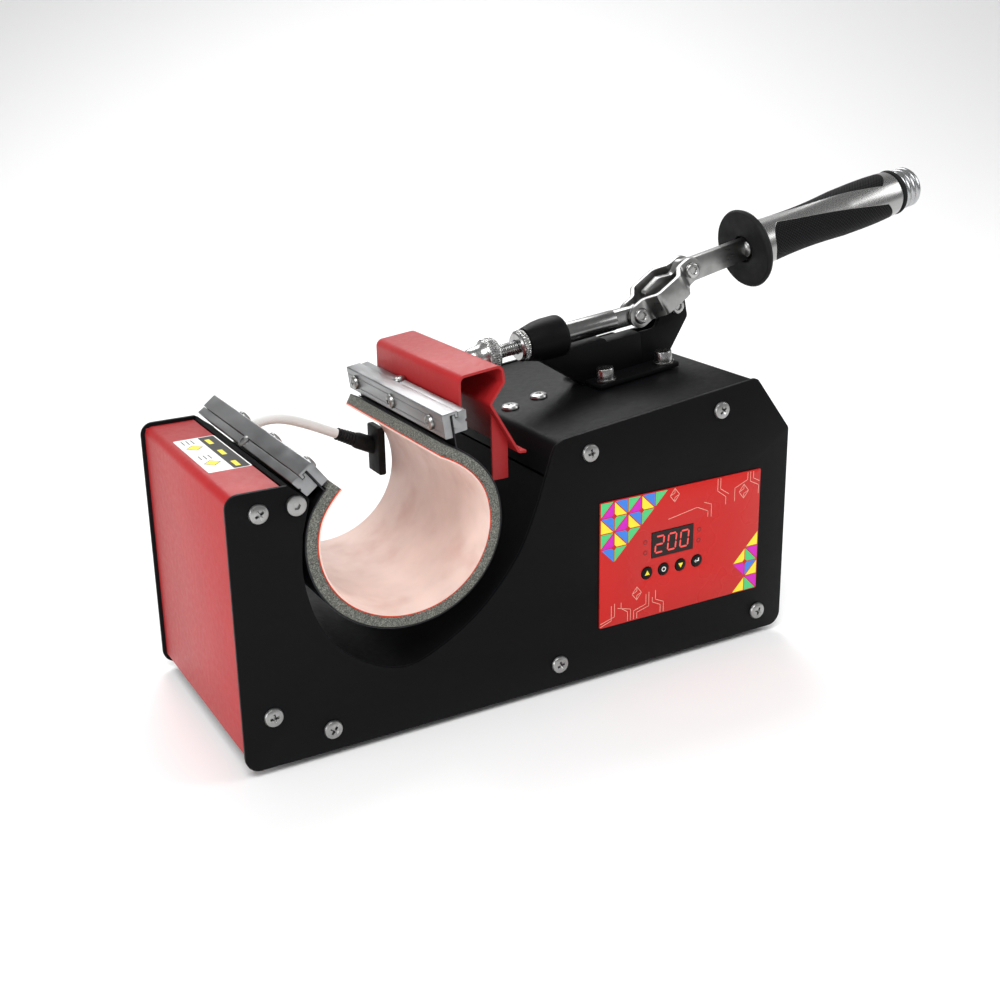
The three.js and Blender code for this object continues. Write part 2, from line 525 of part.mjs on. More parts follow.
function capScrew([u, v]) {
  const profile = [[0, -8], [BOLT_R, -8], [BOLT_R, 0], [6.2, 0], [6.2, 1.3], [5.1, 1.3], [5.1, 7.5],
    [0, 7.5]];
  return turned(profile, [u, v, 3 + GAP], [0, 0, 1], 12);
}

const PIN_R = 3;

// A headed pin across the clamp, of half length up to its heads.
function crossPin(u, w, half) {
  const head = (side) => turned([[0, 0], [4.7, 0], [4.7, 1.4], [3.9, 2.2], [2, 2.2], [0, 1.2]],
    [u, side * half, w], [0, side, 0], 14);
  return join(rod(PIN_R, 2 * half + 1, [u, -half - 0.5, w], [0, 1, 0], 14), head(1), head(-1));
}

function plungerRod() {
  const eye = meet(rod(ROD_R, 20, [PIVOT_A, -10, AXIS_HEIGHT], [0, 1, 0], 20),
    block([60, 130], [-EYE_HALF, EYE_HALF], [0, 80]));
  const round = PIVOT_A - ROD_FLATS;
  const half = Math.sqrt(ROD_R ** 2 - EYE_HALF ** 2);
  const neck = block([round - 2, PIVOT_A], [-EYE_HALF, EYE_HALF],
    [AXIS_HEIGHT - half, AXIS_HEIGHT + half]);
  const shaft = rod(ROD_R, round - BARREL[0] - 0.4, [BARREL[0] + 0.4, 0, AXIS_HEIGHT], [1, 0, 0], 20);
  const bore = rod(SCREW_R + GAP, 20, [BARREL[0] - 1, 0, AXIS_HEIGHT], [1, 0, 0], 12);
  const hole = rod(PIN_R + GAP, 20, [PIVOT_A, -10, AXIS_HEIGHT], [0, 1, 0]);
  return cut(join(shaft, neck, eye), bore, hole);
}

// Screw spindle with its knurled wheel, and the collar that holds it in the bracket.
function adjuster() {
  const profile = [[0, ADJUSTER_FROM], [6.5, ADJUSTER_FROM], [6.5, ADJUSTER_FROM + 4],
    [SCREW_R, ADJUSTER_FROM + 4], [SCREW_R, -10], [5.4, -9.4], [6.6, -3], [8.8, 0.6], [9.7, 2], [9.7, 7.4],
    [8.9, 8], [SCREW_R, 8.6], [SCREW_R, ADJUSTER_TO], [0, ADJUSTER_TO]];
  return turned(profile, [0, 0, AXIS_HEIGHT], [1, 0, 0], 16);
}

const jamNut = () => turned([[SCREW_R + GAP, 0], [8, 0], [9.4, 1.4], [9.4, 5.2], [SCREW_R + GAP, 5.2],
  [SCREW_R + GAP, 0]], [BARREL[0] - 0.3 - 5.2, 0, AXIS_HEIGHT], [1, 0, 0], 16);

// ---- links and handle ----------------------------------------------------------------------
const LINK = new THREE.Vector2(PIVOT_B[0] - PIVOT_A, PIVOT_B[1] - AXIS_HEIGHT);
const LINK_END = 3.6;          // inner face of a link at its ends, from the middle plane
const LINK_OUT = 11.7;         // inner face where it is joggled round the ears

// One link, from the plunger pivot: a flat strap with a joggle, rounded at both ends.
function link(side) {
  const span = LINK.length();
  const half = STRAP_WIDTH / 2;
  const [a, b] = [side * (LINK_END + STRAP / 2), side * (LINK_OUT + STRAP / 2)];
  const line = [[-half - 1, a], [6.4, a, 2], [13, b, 3], [span - 12.6, b, 3], [span - 6.4, a, 2],
    [span + half + 1, a]];
  const bent = prism(sheetSection(line, STRAP), -half - 1, half + 1).rotateX(-Math.PI / 2);
  const outline = corners([[-half, -half, half * 0.99], [span + half, -half, half * 0.99],
    [span + half, half, half * 0.99], [-half, half, half * 0.99]]);
  const strap = meet(bent, prism(outline, -30, 30));
  const faces = side * (LINK_END + STRAP);
  const head = turned([[0, -1], [4.7, -1], [4.7, 1.4], [3.9, 2.2], [2, 2.2], [0, 1.2]],
    [0, faces, 0], [0, side, 0], 14);
  const hole = rod(PIN_R + GAP, 40, [span, -20, 0], [0, 1, 0]);
  return join(cut(strap, hole), head).rotateY(-Math.atan2(LINK.y, LINK.x))
    .translate(PIVOT_A, 0, AXIS_HEIGHT);
}

function handlePlate() {
  const [bu, bw] = PIVOT_B;
  const outline = corners([[PIVOT_C - 8.2, AXIS_HEIGHT - 4, 5], [PIVOT_C, AXIS_HEIGHT - 9, 7],
    [PIVOT_C + 8, AXIS_HEIGHT - 4, 6], [PIVOT_C + 9, AXIS_HEIGHT + 4, 6], [bu + 2, bw - 8.6, 5],
    [GRIP_AT[0] + 2, 47], [GRIP_AT[0] + 2, 60.4], [bu + 5.5, bw + 6, 5], [bu - 5.5, bw + 6.6, 4],
    [bu - 10.5, bw - 0.8, 4], [121.5, 50.4, 3], [110.6, 43.6, 2], [113, 39.4, 2]]);
  const flat = prism(outline, -HANDLE_HALF, HANDLE_HALF);
  const pins = [[PIVOT_C, AXIS_HEIGHT], PIVOT_B].map(([u, w]) =>
    rod(PIN_R + GAP, 20, [u, -10, w], [0, 1, 0]));
  return join(cut(flat, ...pins), alongGrip([[0, -3], [5.5, -3], [5.5, GRIP_LENGTH + 10],
    [0, GRIP_LENGTH + 10]], 16));
}

function alongGrip(profile, sides = 18) {
  const t = rad(GRIP_TILT);
  return turned(profile, [GRIP_AT[0], 0, GRIP_AT[1]], [Math.cos(t), 0, Math.sin(t)], sides);
}

const CORE = 5.5 + GAP;
const SLEEVE_AT = 11;          // start of the sleeve behind the flange
const gripFlange = () => alongGrip([[CORE + 2.6, 0], [24, 0], [24.4, 1.6], [23.4, 4], [18, 6.6],
  [GRIP_R + 0.4, SLEEVE_AT - GAP], [CORE, SLEEVE_AT - GAP], [CORE, 4], [CORE + 2.6, 3], [CORE + 2.6, 0]]);

// The sleeve is waisted, fullest near its outer end.
function gripSleeve() {
  const outer = Array.from({ length: 9 }, (_, i) => {
    const t = i / 8;
    const swell = -1.1 * Math.sin(Math.PI * Math.min(t / 0.6, 1)) + 0.9 * Math.sin(Math.PI * t ** 3);
    return [GRIP_R + swell, SLEEVE_AT + GRIP_LENGTH * t];
  });
  return alongGrip([[CORE, SLEEVE_AT], ...outer, [CORE, SLEEVE_AT + GRIP_LENGTH], [CORE, SLEEVE_AT]]);
}

const RING_AT = SLEEVE_AT + GRIP_LENGTH + GAP;
const gripRing = () => alongGrip([[0, 0], [11.5, 0], [13.4, 1], [13.4, 3.4], [11.5, 4.6], [0, 4.6]]
  .map(([r, d]) => [r, RING_AT + d]));

function gripCap() {
  const ribs = [0, 1, 2].flatMap((i) => [[11.2, 1 + i * 4], [11.2, 3.6 + i * 4], [10.2, 4.2 + i * 4]]);
  return alongGrip([[0, 0], [10, 0], ...ribs, [9.6, 13.6], [0, 13.6]]
    .map(([r, d]) => [r, RING_AT + 4.6 + GAP + d]));
}

// ---- assembly ------------------------------------------------------------------------------
const housing = new THREE.Group();
add(housing, 'front_plate', frontPlate(), 'black');
add(housing, 'back_plate', cut(prism(plateOutline(), DEPTH - PLATE, DEPTH),
  ...screwHoles(DEPTH - PLATE, DEPTH)), 'black');
add(housing, 'end_cover', endCover(), 'red');
add(housing, 'top_cover', topCover(), 'black');
add(housing, 'well_panel', wellPanel(), 'black');
add(housing, 'base_panel', basePanel(), 'black');
feet(housing);
add(housing, 'rail_support', railSupport(), 'black');
addRail(housing, LEFT_RAIL, 1, { back: 'left_rail', bar: 'left_clamp_bar', screw: 'left_bar_screw' });
add(housing, 'control_panel', controlPanel(), 'panel');
add(housing, 'display_window', block(DISPLAY.x, [-1, PLATE + 2.2], DISPLAY.z), 'plastic');
for (const [name, x] of Object.entries(BUTTONS)) add(housing, name, button(x), 'plastic');
add(housing, 'controller_board', controllerBoard(), 'board');
add(housing, 'solid_state_relay', relayBlock(), 'plastic');
add(housing, 'power_inlet', powerInlet(), 'plastic');
add(housing, 'switch_frame', switchFrame(), 'plastic');
const rockerMesh = add(housing, 'rocker', rocker(), 'plastic');
rockerMesh.position.set(WALL_X + 1, 0, (SWITCH.z[0] + SWITCH.z[1]) / 2);
rockerMesh.rotation.y = rad(ROCKER_TILT);
add(housing, 'fuse_holder', fuseHolder(), 'plastic');
add(housing, 'lead_gland', leadGland(), 'rubber');
add(housing, 'heater_lead', heaterLead(), 'lead');

const LEFT_HALF = [LEFT_TIP, 360 + SPLIT[0]];
const RIGHT_HALF = [SPLIT[1], RIGHT_TIP];
const layers = [['mat', 0, MAT, 'mat'], ['foam', MAT + GAP, FOAM, 'foam']];
for (const [name, inside, thickness, look] of layers) {
  add(housing, `heater_${name}_left`, heaterLayer(inside, thickness, ...LEFT_HALF), look);
  add(housing, `heater_${name}_right`, heaterLayer(inside, thickness, ...RIGHT_HALF), look);
}
add(housing, 'heater_band_left', bandWithEar(LEFT_RAIL, LEFT_TIP + 4, LEFT_HALF[1]), 'band');
add(housing, 'heater_band_right', bandWithEar(RIGHT_RAIL, SPLIT[1], RIGHT_TIP - 6), 'band');

const carriage = new THREE.Group();
addRail(carriage, RIGHT_RAIL, -1, { back: 'right_rail', bar: 'right_clamp_bar',
  screw: 'right_bar_screw' });
add(carriage, 'push_bracket', pushBracket(), 'red');
add(carriage, 'cable_boot', cableBoot(), 'rubber');

const clamp = new THREE.Group();
clamp.position.set(DECK_CORNER[0], MID_Y, DECK_CORNER[1]);
clamp.rotation.y = -TILT;
add(clamp, 'clamp_body', clampBody(), 'black');
BOLTS.forEach((at, i) => add(clamp, `clamp_bolt_${i + 1}`, capScrew(at), 'steel'));
add(clamp, 'handle_pin', crossPin(PIVOT_C, AXIS_HEIGHT, EAR_HALF + GAP), 'steel');
add(clamp, 'plunger_rod', plungerRod(), 'steel');
add(clamp, 'jam_nut', jamNut(), 'steel');
add(clamp, 'adjuster', adjuster(), 'steel');
add(clamp, 'link_near', link(-1), 'steel');
add(clamp, 'link_far', link(1), 'steel');
add(clamp, 'link_pin', crossPin(...PIVOT_B, LINK_END + STRAP + GAP), 'steel');
add(clamp, 'handle_plate', handlePlate(), 'steel');
add(clamp, 'grip_flange', gripFlange(), 'rubber');
add(clamp, 'grip_sleeve', gripSleeve(), 'rubber');
add(clamp, 'grip_ring', gripRing(), 'rubber');
add(clamp, 'grip_cap', gripCap(), 'aluminium');

// The model stands on its feet, with the middle of its box over the origin.
const press = new THREE.Group();
press.add(housing, carriage, clamp);
press.updateMatrixWorld(true);
const box = new THREE.Box3().setFromObject(press, true);
press.position.set(-(box.min.x + box.max.x) / 2, -(box.min.y + box.max.y) / 2, -box.min.z);
const root = new THREE.Group();
root.add(press);

export default root;
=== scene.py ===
"""Looks of a mug heat press: a steel housing, a C-shaped heater and a long-handled toggle clamp."""

import math

import bmesh
import bpy
from bpy.props import FloatProperty, FloatVectorProperty, IntProperty, PointerProperty
from mathutils import Matrix, Vector


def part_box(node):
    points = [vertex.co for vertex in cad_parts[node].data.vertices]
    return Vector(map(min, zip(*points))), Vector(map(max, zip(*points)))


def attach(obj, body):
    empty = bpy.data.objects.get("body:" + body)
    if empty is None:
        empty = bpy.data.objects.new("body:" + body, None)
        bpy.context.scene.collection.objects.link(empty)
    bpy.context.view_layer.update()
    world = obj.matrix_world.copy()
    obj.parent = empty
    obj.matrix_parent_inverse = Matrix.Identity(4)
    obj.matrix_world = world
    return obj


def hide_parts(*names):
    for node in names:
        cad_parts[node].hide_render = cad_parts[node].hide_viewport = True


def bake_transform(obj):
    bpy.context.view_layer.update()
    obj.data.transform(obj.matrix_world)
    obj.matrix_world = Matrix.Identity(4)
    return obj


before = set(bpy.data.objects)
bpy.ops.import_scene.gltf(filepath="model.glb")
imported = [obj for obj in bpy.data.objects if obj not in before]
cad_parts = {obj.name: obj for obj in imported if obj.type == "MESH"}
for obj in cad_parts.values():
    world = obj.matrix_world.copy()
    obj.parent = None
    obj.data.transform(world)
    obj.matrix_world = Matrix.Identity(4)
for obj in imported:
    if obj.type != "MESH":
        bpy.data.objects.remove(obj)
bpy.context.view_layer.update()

bl_info = {
    "name": "Mug heat press",
    "version": (1, 0, 0),
    "blender": (4, 5, 0),
    "location": "3D View > Sidebar > Heat press",
    "description": "Builds the looks of a mug heat press round its fixed frame",
    "category": "Object",
}

MM = 0.001

# Sizes below are in millimetres. x, y and z run from the front plate's low left corner; u, v and w run
# from the left end of the sloping deck: along it, to the back from the middle plane, and square to it.
LENGTH, DEPTH, PLATE, SHEET, GAP = 340, 143, 2, 1.5, 0.3
LOBE_HEIGHT, RIGHT_HEIGHT = 146, 124
PEAK, DECK_CORNER = (315.3, 157), (181.3, 142.1)
COVER_INSET, BASE_LIFT = 2, 6.5
TILT = math.atan2(PEAK[1] - DECK_CORNER[1], PEAK[0] - DECK_CORNER[0])
INNER = (PLATE + GAP, DEPTH - PLATE - GAP)
HEATER = (92.8, 109.8)
HEATER_Y = (-1, 116)
SKIN_LAYER, EDGE_LAYER, FOAM_LAYER, BAND_LAYER = (0, 0.85), (0.86, 1.4), (1.45, 6.95), (7.2, 7.85)
LEFT_TIP, RIGHT_TIP = 139, 421.5
LEFT_RAIL = {"at": (48.4, 142.3), "lean": 37.8, "y": (0, DEPTH), "side": 1, "body": "housing"}
RIGHT_RAIL = {"at": (121.4, 154.8), "lean": 7.9, "y": (0, 117.5), "side": -1, "body": "carriage"}
RAIL_TALL, BAR_SCREW_Z = 12.5, 6.3
BAR_SCREWS = [HEATER_Y[1] * part for part in (0.125, 0.522, 0.924)]
AXIS_HEIGHT, PIVOT_A, PIVOT_C, PIVOT_B = 32, 104, 129.7, (142.3, 51)
BARREL_FROM, ROD_R = 27.5, 6.15
BOLTS = [(70.2, -15), (111.5, -15), (70.2, 15), (111.5, 15)]
LINK_END, LINK_OUT, STRAP, STRAP_WIDTH = 3.6, 11.7, 2.8, 14.4
GRIP_AT, GRIP_TILT, GRIP_LENGTH, GRIP_R, SLEEVE_AT = (186, 53.3), 5.3, 108, 14.2, 11
SWIRL, SWIRL_FROM = -0.45, 0.0  # windings of the grip's strips along its length, and where they start
PANEL_X, PANEL_Z = (208.8, 320), (28, 102.5)
DISPLAY_X, DISPLAY_Z = (243.6, 272.2), (63.2, 78.2)
BUTTONS = {"up": 240.5, "ok": 251.9, "down": 263.7, "enter": 275.3}
BUTTON_R, BUTTON_Z = 3.6, 54.9
WALL_X = LENGTH - 0.8
INLET = {"y": (31, 59), "z": (32, 56)}
SWITCH = {"y": (86, 108), "z": (31, 58)}
FUSE_R, FUSE_AT = 6.5, (72, 40)
FEET = [(x, y) for x in (28, LENGTH - 28) for y in (22, DEPTH - 22)]
PLATE_SCREWS = [(16, 135), (16, 27.7), (47, 12), (182.9, 13), (321.9, 12.3), (290.2, 142.2), (202.6, 132.5)]
BUTTON_SCREW = (34.9, 135.8)
WELL = [(1.5, 78.4), (-22, 70.3), (-52.5, 67.3), (-81.5, 71.6), (-97.6, 73.5), (-120, 68.4),
        (-141.7, 62.8), (-166.8, 57.6), (-190, 56.1)]
LEAD_Y = HEATER_Y[1] + 10
LEAD_ROUTE = [(38.5, 124), (44.4, 124.1), (47.6, 126.4), (50.5, 131), (53.5, 135.2), (57.5, 138.4),
              (62.5, 140.5), (68, 141.3), (74, 141), (80, 139.6), (86, 137.4), (92, 134.8), (98, 132),
              (104, 129), (109.6, 126.2)]

PLATE_FRAME = Matrix.Translation(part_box("front_plate")[0]) @ Matrix.Scale(MM, 4)
DECK_FRAME = PLATE_FRAME @ Matrix.Translation((DECK_CORNER[0], DEPTH / 2, DECK_CORNER[1])) \
    @ Matrix.Rotation(-TILT, 4, "Y")


# ---- outlines -------------------------------------------------------------------------------
def round_corner(before, at, after, radius, steps):
    """Points of the arc that rounds one corner."""
    a, b = (before - at), (after - at)
    half = a.angle(b) / 2
    reach = min(radius / math.tan(half), 0.45 * a.length, 0.45 * b.length)
    bow = reach * math.tan(half)
    centre = at + (a.normalized() + b.normalized()).normalized() * (bow / math.sin(half))
    start, end = at + a.normalized() * reach - centre, at + b.normalized() * reach - centre
    turn = math.atan2(start.x * end.y - start.y * end.x, start.dot(end))
    return [centre + Matrix.Rotation(turn * i / steps, 2) @ start for i in range(steps + 1)]


def corners(points, steps=8, closed=True):
    """An outline of (a, b, radius) corners, with an arc wherever a radius is given."""
    out = []
    count = len(points)
    for i, (a, b, *radius) in enumerate(points):
        at = Vector((a, b))
        if not radius or (not closed and i in (0, count - 1)):
            out.append(at)
            continue
        before, after = Vector(points[i - 1][:2]), Vector(points[(i + 1) % count][:2])
        out += round_corner(before, at, after, radius[0], steps)
    return out


def spline(points, count):
    """A smooth line through points, with even steps between them."""
    out = []
    last = len(points) - 1
    for i in range(count + 1):
        t = i / count * last
        k = min(int(t), last - 1)
        t -= k
        p0, p1 = points[max(k - 1, 0)], points[k]
        p2, p3 = points[k + 1], points[min(k + 2, last)]
        m1, m2 = (p2 - p0) / 2, (p3 - p1) / 2
        out.append(p1 * (2 * t ** 3 - 3 * t ** 2 + 1) + p2 * (3 * t ** 2 - 2 * t ** 3)
                   + m1 * (t ** 3 - 2 * t ** 2 + t) + m2 * (t ** 3 - t ** 2))
    return out


def polar(degrees, r):
    return Vector((HEATER[0] + r * math.cos(math.radians(degrees)),
                   HEATER[1] + r * math.sin(math.radians(degrees))))


def well_line(extra, places, count=72):
    return spline([polar(degrees, r + extra) for degrees, r in places], count)


def sheet_section(line, thickness, steps=8):
    """The section of a bent sheet along an open line of (a, b, bend radius) points."""
    path = corners(line, steps, closed=False)
    sides = ([], [])
    for i, p in enumerate(path):
        back = p - path[i - 1] if i else path[1] - p
        ahead = path[i + 1] - p if i < len(path) - 1 else back
        along = (back.normalized() + ahead.normalized()).normalized()
        stretch = max(along.dot(ahead.normalized()), 0.5)
        square = Vector((-along.y, along.x)) * (thickness / 2 / stretch)
        sides[0].append(p + square)
        sides[1].append(p - square)
    return sides[0] + sides[1][::-1]


def rectangle(a, b, radius=0.0, steps=6):
    if not radius:
        return [Vector((a[0], b[0])), Vector((a[1], b[0])), Vector((a[1], b[1])), Vector((a[0], b[1]))]
    return corners([(a[0], b[0], radius), (a[1], b[0], radius), (a[1], b[1], radius), (a[0], b[1], radius)],
                   steps)


def circle(a, b, r, count=32):
    return [Vector((a + r * math.cos(2 * math.pi * i / count), b + r * math.sin(2 * math.pi * i / count)))
            for i in range(count)]


# ---- solids ---------------------------------------------------------------------------------
def add_prism(shape, outline, y0, y1, holes=(), turn=None, finish=0):
    """An outline in x and z, drawn out along y, with holes through it. turn sets it in another way."""
    turn = turn or Matrix.Identity(4)
    loops = [outline, *holes]
    ends = [[[shape.verts.new(turn @ Vector((a, y, b))) for a, b in loop] for loop in loops] for y in (y0, y1)]
    faces = []
    for front, back in zip(*ends):
        count = len(front)
        for i in range(count):
            j = (i + 1) % count
            faces.append(shape.faces.new((front[i], front[j], back[j], back[i])))
    for end in ends:
        if not holes:
            faces.append(shape.faces.new(end[0]))
            continue
        rims = [shape.edges.get((loop[i - 1], loop[i])) for loop in end for i in range(len(loop))]
        filled = bmesh.ops.triangle_fill(shape, edges=rims, use_beauty=True)
        faces += [part for part in filled["geom"] if isinstance(part, bmesh.types.BMFace)]
    bmesh.ops.recalc_face_normals(shape, faces=faces)
    for face in faces:
        face.material_index = finish
    return faces


def facing(direction, at=(0, 0, 0), spin=0.0):
    """The turn and place that take +Z to a direction."""
    turn = Vector((0, 0, 1)).rotation_difference(Vector(direction)).to_matrix().to_4x4()
    return Matrix.Translation(at) @ turn @ Matrix.Rotation(spin, 4, "Z")


def add_lathe(shape, profile, at, direction, sides=48, closed=False, finish=0):
    """A turned solid of (radius, distance) points about an axis. Its UV map runs round and along it."""
    turn = facing(direction, at)
    rings = []
    for r, d in profile:
        count = sides if r > 1e-6 else 1
        rings.append([shape.verts.new(turn @ Vector((r * math.cos(2 * math.pi * k / sides),
                                                     r * math.sin(2 * math.pi * k / sides), d)))
                      for k in range(count)])
    uv = shape.loops.layers.uv.verify()
    span = max(d for _, d in profile) - min(d for _, d in profile) or 1
    low = min(d for _, d in profile)
    faces = []
    pairs = list(zip(range(len(rings) - 1), range(1, len(rings))))
    if closed:
        pairs.append((len(rings) - 1, 0))
    for i, j in pairs:
        a, b = rings[i], rings[j]
        for k in range(sides):
            m = (k + 1) % sides
            if len(a) == 1 and len(b) == 1:
                break
            if len(a) == 1:
                around, face = [(k, i), (k + 1, j), (k, j)], shape.faces.new((a[0], b[m], b[k]))
            elif len(b) == 1:
                around, face = [(k, i), (k + 1, i), (k, j)], shape.faces.new((a[k], a[m], b[0]))
            else:
                around = [(k, i), (k + 1, i), (k + 1, j), (k, j)]
                face = shape.faces.new((a[k], a[m], b[m], b[k]))
            for loop, (c, ring) in zip(face.loops, around):
                loop[uv].uv = (c / sides, (profile[ring][1] - low) / span)
            face.material_index = finish
            faces.append(face)
    bmesh.ops.recalc_face_normals(shape, faces=faces)
    return faces


def add_block(shape, x, y, z, finish=0):
    return add_prism(shape, rectangle(x, z), *y, finish=finish)


def add_tube(shape, path, radius, sides=20):
    """A round tube along points in the x-z plane, with a UV map in turns and in diameters along it."""
    uv = shape.loops.layers.uv.verify()
    rings, run, far = [], [0.0], 0.0
    for i, p in enumerate(path):
        along = (path[min(i + 1, len(path) - 1)] - path[max(i - 1, 0)]).normalized()
        across, up = Vector((0, 1, 0)), along.cross(Vector((0, 1, 0)))
        rings.append([shape.verts.new(p + radius * (across * math.cos(2 * math.pi * k / sides)
                                                    + up * math.sin(2 * math.pi * k / sides)))
                      for k in range(sides)])
        if i:
            far += (p - path[i - 1]).length
            run.append(far)
    faces = []
    for i in range(len(rings) - 1):
        for k in range(sides):
            m = (k + 1) % sides
            face = shape.faces.new((rings[i][k], rings[i][m], rings[i + 1][m], rings[i + 1][k]))
            for loop, (c, d) in zip(face.loops, [(k, i), (k + 1, i), (k + 1, i + 1), (k, i + 1)]):
                loop[uv].uv = (c / sides, run[d] / (2 * radius))
            faces.append(face)
    faces += [shape.faces.new(rings[0]), shape.faces.new(rings[-1])]
    bmesh.ops.recalc_face_normals(shape, faces=faces)
    return faces


def link_in(name, mesh):
    piece = bpy.data.objects.new(name, mesh)
    bpy.context.scene.collection.objects.link(piece)
    return piece


def settle(piece):
    """Turns a piece with modifiers into a plain mesh."""
    bpy.context.view_layer.update()
    evaluated = piece.evaluated_get(bpy.context.evaluated_depsgraph_get())
    mesh = bpy.data.meshes.new_from_object(evaluated)
    piece.modifiers.clear()
    old, piece.data = piece.data, mesh
    bpy.data.meshes.remove(old)
    return piece


def smooth(mesh, degrees=32):
    mesh.shade_smooth()
    mesh.set_sharp_from_angle(angle=math.radians(degrees))


def make(name, shape, finishes, where=PLATE_FRAME, edge=0.0, degrees=32):
    """A mesh object from a shape in millimetres, with its edges broken by a small bevel."""
    shape.transform(where)
    mesh = bpy.data.meshes.new(name)
    shape.to_mesh(mesh)
    shape.free()
    for finish in finishes:
        mesh.materials.append(finish)
    piece = link_in(name, mesh)
    if edge:
        bevel = piece.modifiers.new("Edges", "BEVEL")
        bevel.width, bevel.segments, bevel.limit_method = edge * MM, 2, "ANGLE"
        bevel.angle_limit = math.radians(38)
        bevel.miter_outer = "MITER_ARC"
        settle(piece)
    piece.data.name = name
    smooth(piece.data, degrees)
    return piece


def stand_for(piece, body, slot, *nodes):
    """The piece rides on its body and stands for CAD nodes. The slot is not used."""
    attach(piece, body)
    if nodes:
        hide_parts(*nodes)
    return piece


# ---- geometry node trees --------------------------------------------------------------------
def new_tree(name, sockets):
    """A tree with one geometry output and named inputs of (name, kind, default)."""
    tree = bpy.data.node_groups.new(name, "GeometryNodeTree")
    tree.interface.new_socket("Geometry", in_out="OUTPUT", socket_type="NodeSocketGeometry")
    for label, kind, default in sockets:
        socket = tree.interface.new_socket(label, in_out="INPUT", socket_type=kind)
        if default is not None:
            socket.default_value = default
    return tree, tree.nodes.new("NodeGroupInput"), tree.nodes.new("NodeGroupOutput")


def set_input(modifier, label, value):
    """Sets a tree's input by its socket's identifier."""
    for item in modifier.node_group.interface.items_tree:
        if item.item_type == "SOCKET" and item.in_out == "INPUT" and item.name == label:
            modifier[item.identifier] = value
            return
    raise KeyError(label)


def end_tree(tree, given, result, geometry):
    """Closes a tree with Realize Instances and Set Material."""
    real, paint = tree.nodes.new("GeometryNodeRealizeInstances"), tree.nodes.new("GeometryNodeSetMaterial")
    tree.links.new(geometry, real.inputs[0])
    tree.links.new(real.outputs[0], paint.inputs["Geometry"])
    tree.links.new(given.outputs["Finish"], paint.inputs["Material"])
    tree.links.new(paint.outputs[0], result.inputs[0])


def sums(tree):
    """A short way to add Math nodes to a tree."""
    def work(operation, a, b=None):
        node = tree.nodes.new("ShaderNodeMath")
        node.operation = operation
        for socket, value in zip(node.inputs, (a, b)):
            if isinstance(value, (int, float)):
                socket.default_value = value
            elif value is not None:
                tree.links.new(value, socket)
        return node.outputs[0]
    return work


def copies_tree():
    """One copy of an object at each point, turned by the point's own turn."""
    if "Copies at places" in bpy.data.node_groups:
        return bpy.data.node_groups["Copies at places"]
    tree, given, result = new_tree("Copies at places", [
        ("Geometry", "NodeSocketGeometry", None), ("Copy", "NodeSocketObject", None),
        ("Size", "NodeSocketFloat", 1.0), ("Finish", "NodeSocketMaterial", None)])
    info, spots = tree.nodes.new("GeometryNodeObjectInfo"), tree.nodes.new("GeometryNodeInstanceOnPoints")
    turn = tree.nodes.new("GeometryNodeInputNamedAttribute")
    turn.data_type = "FLOAT_VECTOR"
    turn.inputs["Name"].default_value = "turn"
    tree.links.new(given.outputs["Copy"], info.inputs["Object"])
    tree.links.new(given.outputs["Geometry"], spots.inputs["Points"])
    tree.links.new(info.outputs["Geometry"], spots.inputs["Instance"])
    tree.links.new(turn.outputs["Attribute"], spots.inputs["Rotation"])
    tree.links.new(given.outputs["Size"], spots.inputs["Scale"])
    end_tree(tree, given, result, spots.outputs["Instances"])
    return tree


